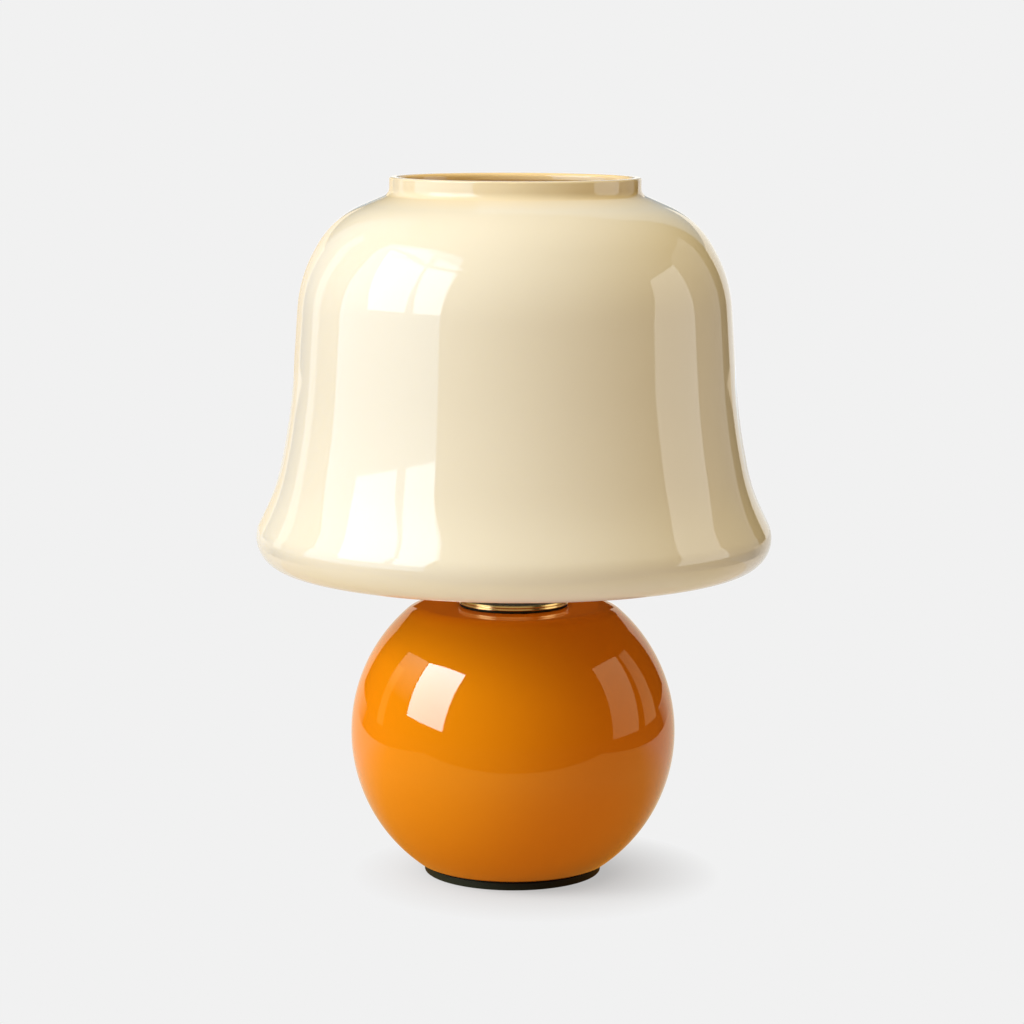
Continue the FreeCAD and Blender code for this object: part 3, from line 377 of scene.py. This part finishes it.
def inner_corners():
    """The bell's corners on the inside of its wall."""
    path = [Vector((MOUTH, 0.0))] + [Vector(corner[:2]) for corner in BELL] + [Vector((NECK, BELL_TOP))]
    made = []
    for index in range(1, len(path) - 1):
        lines = []
        for start, end in ((path[index - 1], path[index]), (path[index], path[index + 1])):
            along = (end - start).normalized()
            inward = Vector((-along.y, along.x)) * WALL
            lines.append((start + inward, along))
        (p, u), (q, v) = lines
        share = ((q - p).x * v.y - (q - p).y * v.x) / (u.x * v.y - u.y * v.x)
        spot = p + u * share
        bend = BELL[index - 1][2]
        made.append((spot.x, spot.y, abs(bend - WALL) if bend > 0 else abs(bend) + WALL))
    return made


bell_outline = [(MOUTH, 0.0, MOUTH_EDGE)]
bell_outline += [(x, y, abs(bend)) for x, y, bend in BELL]
bell_outline += [(NECK, BELL_TOP, 0.9), (LIP_BORE, BELL_TOP, 1.7), (LIP_BORE, LIP_FOOT, 0.9),
                 (NECK_BORE, LIP_ROOT, 0.5)]
bell_outline += inner_corners()[::-1]
bell_outline += [(MOUTH, WALL, MOUTH_EDGE)]
bell_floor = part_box("glass_shade")[0].z
shade = lathe("bell_shade", "cream_glass", rounded(bell_outline, 3.0), "shade", "glass_shade", segments=240,
              shift=bell_floor)

# glass ball: flat below and on top, with a rounded shoulder at the top
BALL = 70.0
BALL_FLOOR = 4.4
BALL_FOOT = 40.73
TOP_CORNER = 43.0
CENTRE = BALL_FLOOR + math.sqrt(BALL ** 2 - BALL_FOOT ** 2)
TOP = CENTRE + math.sqrt(BALL ** 2 - TOP_CORNER ** 2)
SHOULDER = 11.0
CAP_BORE, TUBE_BORE = 34.0, 15.0
bend_height = TOP - SHOULDER
bend_radius = math.sqrt((BALL - SHOULDER) ** 2 - (bend_height - CENTRE) ** 2)
low = math.degrees(math.atan2(BALL_FLOOR - CENTRE, BALL_FOOT))
high = math.degrees(math.atan2(bend_height - CENTRE, bend_radius))
inside = BALL - WALL
ceiling = TOP - WALL
sill = BALL_FLOOR + WALL
inner_high = math.degrees(math.asin((ceiling - CENTRE) / inside))
inner_low = math.degrees(math.asin((sill - CENTRE) / inside))
# the edge at the foot is eased by half a millimetre, and the sphere starts one degree above it
ball_outline = rounded([(CAP_BORE, sill, 0.3), (CAP_BORE, BALL_FLOOR, 0.5), (BALL_FOOT - 0.15, BALL_FLOOR, 0.5),
                        (BALL_FOOT + 0.7, BALL_FLOOR + 0.5, 0.0)], 10.0)
ball_outline += arc((0.0, CENTRE), BALL, low + 1.0, high)
ball_outline += arc((bend_radius, bend_height), SHOULDER, high, 90.0, 3.0)[1:]
# the first and last of these corners only lead into the bends and are left out
ball_outline += rounded([(39.0, TOP, 0.0), (TUBE_BORE, TOP, 0.6), (TUBE_BORE, ceiling, 0.6), (20.0, ceiling, 0.0)],
                        10.0)[1:-1]
ball_outline += arc((0.0, CENTRE), inside, inner_high, inner_low, 2.4)
ball = lathe("ball_base", "orange_glass", ball_outline, "lamp", "glass_base", segments=320)

# notch for the charging port at the back, as two corners of a box
NOTCH = ((-7.2, 20.0, 1.0), (7.2, 60.0, 9.6))
NOTCH_BEND = 2.0 * MM


def cut_notch(piece, low_corner, high_corner):
    """Cut a box with rounded upper edges away from a piece and keep the result as its mesh."""
    cutter_mesh = bmesh.new()
    bmesh.ops.create_cube(cutter_mesh, size=1.0)
    size = Vector(high_corner) - Vector(low_corner)
    middle = (Vector(high_corner) + Vector(low_corner)) / 2
    for vertex in cutter_mesh.verts:
        vertex.co = Vector((vertex.co.x * size.x, vertex.co.y * size.y, vertex.co.z * size.z)) + middle
    upper = [edge for edge in cutter_mesh.edges if abs((edge.verts[0].co - edge.verts[1].co).y) > size.y / 2
             and edge.verts[0].co.z > middle.z]
    bmesh.ops.bevel(cutter_mesh, geom=upper, offset=NOTCH_BEND, segments=8, profile=0.5, affect="EDGES")
    data = bpy.data.meshes.new("cutter")
    cutter_mesh.to_mesh(data)
    cutter_mesh.free()
    cutter = bpy.data.objects.new("cutter", data)
    bpy.context.scene.collection.objects.link(cutter)
    cut = piece.modifiers.new("notch", "BOOLEAN")
    cut.object = cutter
    cut.operation = "DIFFERENCE"
    cut.solver = "EXACT"
    bpy.context.view_layer.update()
    graph = bpy.context.evaluated_depsgraph_get()
    made = bpy.data.meshes.new_from_object(piece.evaluated_get(graph))
    piece.modifiers.clear()
    piece.data = made
    bpy.data.objects.remove(cutter)
    made.shade_smooth()
    made.set_sharp_from_angle(angle=SHARP)


cut_notch(ball, *[[value * MM for value in corner] for corner in NOTCH])

# foot, gasket and collar; the collar has a groove between two beads
FOOT_BORE, SKIRT_BORE, FOOT_RADIUS = 29.0, 37.4, 38.2
PAD_TOP, SKIRT_TOP = 1.6, 3.2
SEAL_FLOOR, SEAL_TOP, SEAL_RADIUS = 116.57, 117.77, 23.3
COLLAR_TOP, COLLAR_BORE, COLLAR_RADIUS, GROOVE = 119.87, 22.0, 23.6, 22.9
FOOT_OUTLINE = [(FOOT_BORE, 0.0, 0.2), (FOOT_RADIUS, 0.0, 0.4), (FOOT_RADIUS, SKIRT_TOP, 0.3),
                (SKIRT_BORE, SKIRT_TOP, 0.1), (SKIRT_BORE, PAD_TOP, 0.0), (FOOT_BORE, PAD_TOP, 0.1)]
SEAL_OUTLINE = [(TUBE_BORE, SEAL_FLOOR, 0.2), (SEAL_RADIUS, SEAL_FLOOR, 0.2), (SEAL_RADIUS, SEAL_TOP, 0.25),
                (TUBE_BORE, SEAL_TOP, 0.2)]
COLLAR_OUTLINE = [(COLLAR_BORE, SEAL_TOP, 0.1), (COLLAR_RADIUS, SEAL_TOP, 0.1), (COLLAR_RADIUS, 118.02, 0.12),
                  (23.42, 118.52, 0.06), (GROOVE, 118.56, 0.05), (GROOVE, 119.02, 0.05), (COLLAR_RADIUS, 119.06, 0.06),
                  (23.36, 119.78, 0.10), (23.16, COLLAR_TOP, 0.06), (COLLAR_BORE, COLLAR_TOP, 0.12)]
lathe("foot", "black_rubber", rounded(FOOT_OUTLINE, 15.0), "lamp", "foot_ring")
lathe("collar_seal", "black_rubber", rounded(SEAL_OUTLINE, 15.0), "lamp", "upper_gasket")
lathe("collar", "brass", rounded(COLLAR_OUTLINE, 7.0), "lamp", "collar_ring")

# ---------------------------------------------------------------- spring under the dimmer button
WIRE_SIDES = 12
STEPS_PER_TURN = 48
CLOSED_PITCH = 2.04


def coil_spring(name, slot, body, node, radius, wire, open_turns, closed=0.9):
    """A spring as tall as a CAD node, with closed turns at both ends.

    The radius is the coil's to the middle of the wire, and wire is the wire's own radius.
    """
    low_corner, high_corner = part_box(node)
    foot, crown = low_corner.z + wire, high_corner.z - wire
    thick = CLOSED_PITCH * wire
    total = open_turns + 2 * closed
    steps = math.ceil(total * STEPS_PER_TURN)
    mesh = bmesh.new()
    hoops = []
    for step in range(steps + 1):
        turn = total * step / steps
        height = foot + thick * min(turn, closed) + thick * max(0.0, turn - total + closed)
        share = min(max((turn - closed) / open_turns, 0.0), 1.0)
        height += (crown - foot - 2 * closed * thick) * share
        angle = 2 * math.pi * turn
        out = Vector((math.cos(angle), math.sin(angle), 0.0))
        hoop = []
        for side in range(WIRE_SIDES):
            a = 2 * math.pi * side / WIRE_SIDES
            hoop.append(mesh.verts.new(out * (radius + wire * math.cos(a))
                                       + Vector((0.0, 0.0, height + wire * math.sin(a)))))
        hoops.append(hoop)
    for first, second in zip(hoops, hoops[1:]):
        bridge(mesh, first, second)
    mesh.faces.new(hoops[0])
    mesh.faces.new(hoops[-1])
    bmesh.ops.recalc_face_normals(mesh, faces=mesh.faces)
    spring = finish_piece(name, slot, mesh, body, node)
    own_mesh(spring)


coil_spring("press_spring", "spring_steel", "lamp", "button_spring",
            radius=5.4 * MM, wire=0.35 * MM, open_turns=4.0)

# ---------------------------------------------------------------- camera, fitted to the photo's outline
PITCH = 8.26
ROLL = 0.25
CAMERA_PLACE = (-0.85 * MM, -1307.0 * MM, 346.6 * MM)
camera_data = bpy.data.cameras.new("camera")
camera_data.lens = 108.14
camera_data.sensor_width = 36.0
camera = bpy.data.objects.new("camera", camera_data)
camera.matrix_world = (Matrix.Translation(CAMERA_PLACE) @ Matrix.Rotation(math.radians(90.0 - PITCH), 4, "X")
                       @ Matrix.Rotation(math.radians(ROLL), 4, "Z"))
bpy.context.scene.collection.objects.link(camera)
bpy.context.scene.camera = camera
bpy.context.scene.view_settings.view_transform = "Standard"

# ---------------------------------------------------------------- studio
PALE = 0.8796
# azimuths of the window and of the strip of light on the right, and heights from which panes are aimed
WINDOW, STRIP = -52.0, 92.0
BALL_EYE, RING_EYE, BELL_EYE = 0.085, 0.118, 0.22
EYES = {"ball_group": BALL_EYE, "ring_group": RING_EYE, "bell_skin": BELL_EYE, "inner_group": BELL_EYE}
SOFTBOX_AIM = 0.15
# a piece that starts above the first height is lit with the bell; one that ends above the second isn't mirrored
BELL_SIDE_FROM, UNMIRRORED_FROM = 0.118, 0.12


def heading(azimuth, elevation=0.0):
    """Unit vector: azimuth 0 is towards the front, positive to the right."""
    a, e = math.radians(azimuth), math.radians(elevation)
    return Vector((math.sin(a) * math.cos(e), -math.cos(a) * math.cos(e), math.sin(e)))


def area(name, place, out, width, height, level, colour, group):
    """A rectangular lamp that faces along -out and lights only one group of pieces."""
    data = bpy.data.lights.new(name, "AREA")
    data.shape = "RECTANGLE"
    data.size = width
    data.size_y = height
    data.color = colour
    data.energy = level
    lamp = bpy.data.objects.new(name, data)
    lamp.location = place
    lamp.rotation_mode = "QUATERNION"
    lamp.rotation_quaternion = (-out).to_track_quat("-Z", "Y")
    bpy.context.scene.collection.objects.link(lamp)
    lamp.visible_camera = False
    lamp.visible_transmission = False
    lamp.light_linking.receiver_collection = groups[group]
    return lamp


def gloss_only(lamp):
    """Leave a lamp only its mirror image."""
    lamp.visible_diffuse = False
    lamp.visible_shadow = False


def pane(name, group, face, radiance, colour, corners, low=1.0, soft=0.004, distance=2.2):
    """A lit pane seen in gloss only: straight edges between corners given as azimuth and elevation from the eye.

    Its light falls to the share low of the radiance at its foot.
    """
    eye = Vector((0.0, 0.0, EYES[group]))
    out = heading(face)
    side = Vector((math.cos(math.radians(face)), math.sin(math.radians(face)), 0.0))
    spots = []
    for azimuth, elevation in corners:
        ray = heading(azimuth, elevation)
        spots.append(ray * distance / ray.dot(out))
    across = [spot.dot(side) for spot in spots]
    heights = [spot.z for spot in spots]
    width, height = max(across) - min(across), max(heights) - min(heights)
    place = eye + out * distance + side * (max(across) + min(across)) / 2
    place.z += (max(heights) + min(heights)) / 2
    lamp = area(name, place, out, width, height, radiance * math.pi * width * height, colour, group)
    gloss_only(lamp)
    lamp.data.use_nodes = True
    s = Shader.of(lamp.data.node_tree)
    spot = s.minus(s.node("NewGeometry").outputs["Position"], eye)
    strength = s.math("MAXIMUM", s.fit(s.split(spot)["Z"], min(heights), max(heights), low, 1.0), 0.0)
    middle = sum(spots, Vector()) / len(spots)
    for first, second in zip(spots, spots[1:] + spots[:1]):
        edge = first.cross(second).normalized()
        if edge.dot(middle) < 0:
            edge = -edge
        within = s.node("VectorMath", {"operation": "DOT_PRODUCT"}, _0=spot, _1=edge).outputs["Value"]
        strength = s.math("MULTIPLY", strength, s.fit(within, 0.0, soft * distance, 0.0, 1.0))
    glow = s.emission((1.0, 1.0, 1.0, 1.0), strength)
    s.tree.links.new(glow, s.tree.nodes.new("ShaderNodeOutputLight").inputs["Surface"])


def softbox(name, group, azimuth, elevation, level, size=1.1, distance=1.7):
    """A soft lamp that gives this brightness to a white surface facing it; not seen in gloss."""
    strongest = max(level)
    lamp = area(name, heading(azimuth, elevation) * distance + Vector((0.0, 0.0, SOFTBOX_AIM)),
                heading(azimuth, elevation), size, size, strongest * math.pi * math.pi * distance ** 2,
                [part / strongest for part in level], group)
    lamp.visible_glossy = False


groups = {}
for word in ("ball_group", "bell_group", "bell_skin", "inner_group", "floor_group", "ring_group"):
    groups[word] = bpy.data.collections.new(word)
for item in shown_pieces():
    heights = [(item.matrix_world @ Vector(corner)).z for corner in item.bound_box]
    if item.name == "collar":
        groups["ring_group"].objects.link(item)
        continue
    groups["bell_group" if min(heights) > BELL_SIDE_FROM else "ball_group"].objects.link(item)
    if max(heights) > UNMIRRORED_FROM:
        item.visible_glossy = False
        if item != shade:
            groups["inner_group"].objects.link(item)
    if item == shade:
        groups["bell_skin"].objects.link(item)

# the window and its neighbours as the ball shows them
pane("ball_window", "ball_group", WINDOW, 20.0, (1.0, 0.85, 0.92),
     [(-87.7, 38.9), (-46.9, 44.7), (-50.5, 5.8), (-82.0, 8.9)], low=0.60, soft=0.002)
pane("ball_dim_pane", "ball_group", -95.0, 3.0, (1.0, 0.86, 0.62),
     [(-114.6, 30.5), (-88.2, 38.9), (-82.3, -3.4), (-111.7, -8.0)], low=-0.7)
pane("ball_sliver", "ball_group", -100.0, 0.8, (1.0, 0.72, 0.22),
     [(-112.9, 23.5), (-104.1, 26.7), (-103.8, -6.9), (-111.6, -7.6)])
pane("ball_strip", "ball_group", STRIP, 2.0, (1.0, 0.82, 0.46),
     [(78.9, 39.1), (109.2, 31.8), (98.5, -2.5), (73.0, -4.3)], low=0.55)
pane("ball_thin_strip", "ball_group", 110.0, 0.9, (1.0, 0.74, 0.36),
     [(112.0, 30.0), (123.4, 26.2), (122.0, -5.0), (105.6, -4.1)])

# soft light on the gold ring, with the window and the strip in it
RING_WARM = (1.0, 0.84, 0.56)
pane("ring_soft_light", "ring_group", 0.0, 0.5, RING_WARM,
     [(-60.0, 62.0), (60.0, 62.0), (60.0, 4.0), (-60.0, 4.0)], low=0.9)
for side, corners in ((-1, [(-150.0, 50.0), (-60.0, 62.0), (-60.0, 4.0), (-150.0, 4.0)]),
                      (1, [(60.0, 62.0), (150.0, 50.0), (150.0, 4.0), (60.0, 4.0)])):
    pane("ring_side_light", "ring_group", 105.0 * side, 0.42, RING_WARM, corners, low=0.9)
pane("ring_window", "ring_group", WINDOW, 1.4, (0.95, 1.0, 1.0),
     [(-87.7, 50.0), (-46.9, 50.0), (-50.5, 0.0), (-82.0, 0.0)])
pane("ring_strip", "ring_group", STRIP, 1.1, (1.0, 0.95, 0.80),
     [(72.0, 45.0), (109.2, 45.0), (102.0, -4.0), (73.0, -4.0)])

# the same window as the bell shows it: panes between bars, in a wide soft glow
SKY = (0.45, 0.68, 1.0)
PANE = (0.72, 0.84, 1.0)
DAYLIGHT = (0.90, 0.95, 1.0)
pane("bell_pane_right", "bell_skin", WINDOW, 4.2, PANE, [(-58.5, 42.5), (-36.0, 42.0), (-38.5, 9.5), (-53.5, 9.5)])
pane("bell_pane_left", "bell_skin", WINDOW, 4.2, PANE, [(-95.0, 42.5), (-60.5, 42.5), (-56.0, 9.5), (-82.0, 8.0)])
pane("bell_top_right", "bell_skin", WINDOW, 2.6, PANE, [(-59.0, 49.0), (-34.0, 46.5), (-35.5, 44.2), (-58.7, 44.5)])
pane("bell_top_left", "bell_skin", WINDOW, 2.6, PANE, [(-103.0, 55.0), (-61.5, 50.0), (-60.8, 44.5), (-96.0, 44.5)])
pane("bell_glow", "bell_skin", -62.0, 2.9, (0.42, 0.68, 1.0),
     [(-103.0, 66.0), (-38.2, 66.0), (-38.2, -6.0), (-103.0, -6.0)], soft=0.01)
pane("bell_glow_far", "bell_skin", -120.0, 0.45, SKY,
     [(-150.0, 50.0), (-103.0, 60.0), (-103.0, -6.0), (-150.0, -6.0)], soft=0.02)
pane("bell_band", "bell_skin", -124.0, 0.8, (0.85, 0.95, 1.0),
     [(-131.0, 36.0), (-122.0, 36.0), (-121.5, -8.0), (-130.0, -8.0)], soft=0.01, distance=2.1)
pane("bell_strip", "bell_skin", STRIP, 2.1, DAYLIGHT, [(82.4, 27.5), (107.5, 28.5), (106.5, -7.0), (73.0, -7.0)])
pane("bell_thin_strip", "bell_skin", 122.0, 0.5, DAYLIGHT,
     [(107.5, 30.0), (136.0, 30.0), (136.0, -8.0), (106.5, -8.0)])

# soft lamps: key, top, front and back, each for its own group
for where in (("bell_key_low", "bell_group", -65.0, 5.0, (0.57, 0.50, 0.14)),
              ("bell_key_high", "bell_group", -65.0, 36.0, (0.02, 0.19, 0.72)),
              ("bell_top", "bell_group", -38.0, 76.0, (0.76, 0.76, 0.65)),
              ("bell_front", "bell_group", -22.0, 4.0, (0.13, 0.16, 0.18)),
              ("bell_back", "bell_group", -120.0, 40.0, (0.10, 0.09, 0.09)),
              ("ball_key", "ball_group", -65.0, 23.0, (0.90, 1.38, 0.50))):
    softbox(*where)
# what the inside of the bell gives back to the top of the ball, as two flat disks that face down
UP = Vector((0.0, 0.0, 1.0))
for name, aside, height, width, level in (("under_bell", 0.0, 0.140, 0.17, 0.0090),
                                          ("over_flat", -0.006, 0.124, 0.086, 0.0058)):
    under = area(name, Vector((aside, 0.0, height)), UP, width, width, level, (1.0, 0.68, 0.15), "ball_group")
    under.data.shape = "DISK"
    under.visible_glossy = False
softbox("ball_back", "ball_group", -120.0, 40.0, (0.50, 0.10, 0.02))
softbox("floor_key", "floor_group", -62.0, 34.0, (1.9, 1.9, 1.9), size=0.7)
softbox("floor_top", "floor_group", -30.0, 72.0, (2.6, 2.6, 2.6), size=2.4)

# gloss on the back of the bell and on what stands inside it
pane("bell_rear_sky", "bell_skin", 180.0, 0.5, (0.45, 0.70, 1.0),
     [(190.0, 60.0), (148.0, 60.0), (148.0, -10.0), (190.0, -10.0)], soft=0.02)
CREAM_LIGHT = (1.0, 0.96, 0.88)
pane("inner_window", "inner_group", WINDOW, 1.7, CREAM_LIGHT,
     [(-88.0, 50.0), (-28.0, 50.0), (-28.0, -6.0), (-88.0, -6.0)], low=0.5, soft=0.05)
pane("inner_strip", "inner_group", 88.0, 0.8, (1.0, 0.94, 0.84),
     [(66.0, 40.0), (112.0, 40.0), (112.0, -6.0), (66.0, -6.0)], low=0.4, soft=0.05)
pane("inner_front", "inner_group", 20.0, 0.5, (1.0, 0.93, 0.80),
     [(-28.0, 55.0), (66.0, 55.0), (66.0, -6.0), (-28.0, -6.0)], low=0.5, soft=0.05)
SKY_SIZE, SKY_RADIANCE = 3.4, 0.9
gloss_only(area("inner_sky", Vector((-0.2, 0.3, 2.3)), UP, SKY_SIZE, SKY_SIZE,
                SKY_RADIANCE * math.pi * SKY_SIZE ** 2, CREAM_LIGHT, "inner_group"))
# the bright table behind the lamp, seen in the bell's flare
TABLE_WIDTH, TABLE_DEPTH, TABLE_RADIANCE = 3.0, 2.2, 0.30
gloss_only(area("bell_table_glow", Vector((0.0, 1.3, 0.0005)), -UP, TABLE_WIDTH, TABLE_DEPTH,
                TABLE_RADIANCE * math.pi * TABLE_WIDTH * TABLE_DEPTH, (0.02, 0.45, 1.0), "bell_skin"))

# dark cards all round, seen in gloss only; the rear ones end higher, so the pale backdrop shows below them
CARD_RADIUS = 3.0
CARD_STEPS = 48
CARD_TOP = 3.2
LID_RISE, LID_REACH = 0.4, 0.02
CARD = Shader("dark_card")
CARD.output(CARD.emission((0.030, 0.024, 0.008, 1.0)))


def dark_card(name, first, last, low_height):
    """A curved card from one azimuth to another, closed towards the middle by a shallow lid."""
    mesh = bmesh.new()
    columns = []
    for step in range(CARD_STEPS + 1):
        out = heading(first + (last - first) * step / CARD_STEPS) * CARD_RADIUS
        columns.append((mesh.verts.new((out.x, out.y, low_height)), mesh.verts.new((out.x, out.y, CARD_TOP)),
                        mesh.verts.new((out.x * LID_REACH, out.y * LID_REACH, CARD_TOP + LID_RISE))))
    for (a, b, c), (d, e, f) in zip(columns, columns[1:]):
        mesh.faces.new((a, d, e, b))
        mesh.faces.new((b, e, f, c))
    data = bpy.data.meshes.new(name)
    mesh.to_mesh(data)
    mesh.free()
    data.materials.append(CARD.owner)
    card = bpy.data.objects.new(name, data)
    bpy.context.scene.collection.objects.link(card)
    card.visible_camera = False
    card.visible_diffuse = False
    card.visible_shadow = False
    card.visible_transmission = False


dark_card("card_front", -131.0, 128.0, -0.05)
# first and last azimuth, and the elevation of the lower edge seen from the ball
REAR_CARDS = ((128.0, 148.0, -1.0), (148.0, 170.0, 15.0), (170.0, 190.0, 7.0), (190.0, 212.0, 15.0),
              (212.0, 229.0, -1.0))
for number, (first, last, low_edge) in enumerate(REAR_CARDS):
    dark_card("card_rear_%d" % number, first, last, BALL_EYE + CARD_RADIUS * math.tan(math.radians(low_edge)))

# floor: pale, keeps the lamp's shadow near the foot and runs into the backdrop
floor_mesh = bmesh.new()
bmesh.ops.create_circle(floor_mesh, cap_ends=True, segments=96, radius=3.4)
floor_data = bpy.data.meshes.new("floor")
floor_mesh.to_mesh(floor_data)
floor_mesh.free()
floor = bpy.data.objects.new("floor", floor_data)
floor.location.z = -0.05 * MM
bpy.context.scene.collection.objects.link(floor)
groups["floor_group"].objects.link(floor)

FLOOR_LEVEL = 3.4
SHADOW_PLACE = (0.010, -0.008, 0.0)
SHADOW_CORE, SHADOW_END, SHADOW_DEPTH = 0.030, 0.080, 0.46
TABLE_FRONT, TABLE_SIDE = -0.245, 0.43
REAR = (0.88, 0.75, 0.56)


def floor_material():
    """Plain pale to the camera apart from a shadow; a table in gloss, painted orange near the foot as painted light
    bounced from the ball; a soft bounce for diffuse light.
    """
    s = Shader("pale_floor")
    path = s.node("LightPath").outputs
    spot = s.node("NewGeometry").outputs["Position"]
    at = s.split(spot)
    # to the camera
    reach = s.length(s.minus(spot, SHADOW_PLACE))
    near = s.fit(reach, SHADOW_CORE, SHADOW_END, SHADOW_DEPTH, 0.0)
    share = PALE / FLOOR_LEVEL
    lit = s.node("BsdfDiffuse", Color=(share, share, share, 1.0)).outputs[0]
    flat = s.emission((PALE, PALE, PALE, 1.0))
    seen = s.either(near, flat, lit)
    # in gloss: a table that ends in front and at the sides, and opens out in a wedge to the rear
    front = s.math("GREATER_THAN", at["Y"], TABLE_FRONT)
    sides = s.math("LESS_THAN", s.math("ABSOLUTE", at["X"]), TABLE_SIDE)
    slant = s.math("DIVIDE", s.math("ABSOLUTE", at["X"]), s.math("MAXIMUM", at["Y"], 0.001))
    rear = s.fit(slant, 0.70, 1.25, 1.0, 0.25)
    rear = s.math("MULTIPLY", rear, s.math("LESS_THAN", slant, 1.25))
    table = s.math("MAXIMUM", s.math("MULTIPLY", front, sides), rear)
    # painted reflection: near the foot the table in gloss is painted orange, for light bounced from the ball onto it
    warm = s.mix(s.fit(s.length(spot), 0.05, 0.17, 0.0, 1.0), (0.66, 0.27, 0.04), (0.74, 0.60, 0.17))
    shine = s.mix(s.fit(at["Y"], 0.0, 0.12, 0.0, 1.0), warm, REAR)
    mirrored = s.emission(s.mix(table, (0.030, 0.026, 0.020), shine))
    # for diffuse light: cooler and darker on the left
    tint = s.mix(s.fit(at["X"], -0.05, 0.25, 0.0, 1.0), (0.270, 0.262, 0.31), (0.37, 0.37, 0.40))
    bounce = s.node("BsdfDiffuse", Color=tint).outputs[0]
    other = s.either(path["Is Glossy Ray"], bounce, mirrored)
    s.output(s.either(path["Is Camera Ray"], other, seen))
    return s.owner


floor_data.materials.append(floor_material())

# world: the pale backdrop for what looks at it, soft warm light for the rest
AMBIENT = (0.36, 0.245, 0.07)
world = bpy.data.worlds.new("studio")
bpy.context.scene.world = world
s = Shader("studio", world)
path = s.node("LightPath").outputs
looks = s.math("MAXIMUM", path["Is Camera Ray"], s.math("MAXIMUM", path["Is Glossy Ray"], path["Is Transmission Ray"]))
shown = s.mix(path["Is Glossy Ray"], (PALE, PALE, PALE), REAR)
back = s.node("Background", Color=shown, Strength=1.0).outputs[0]
fill = s.node("Background", Color=(*AMBIENT, 1.0), Strength=1.0).outputs[0]
s.output(s.either(looks, fill, back))
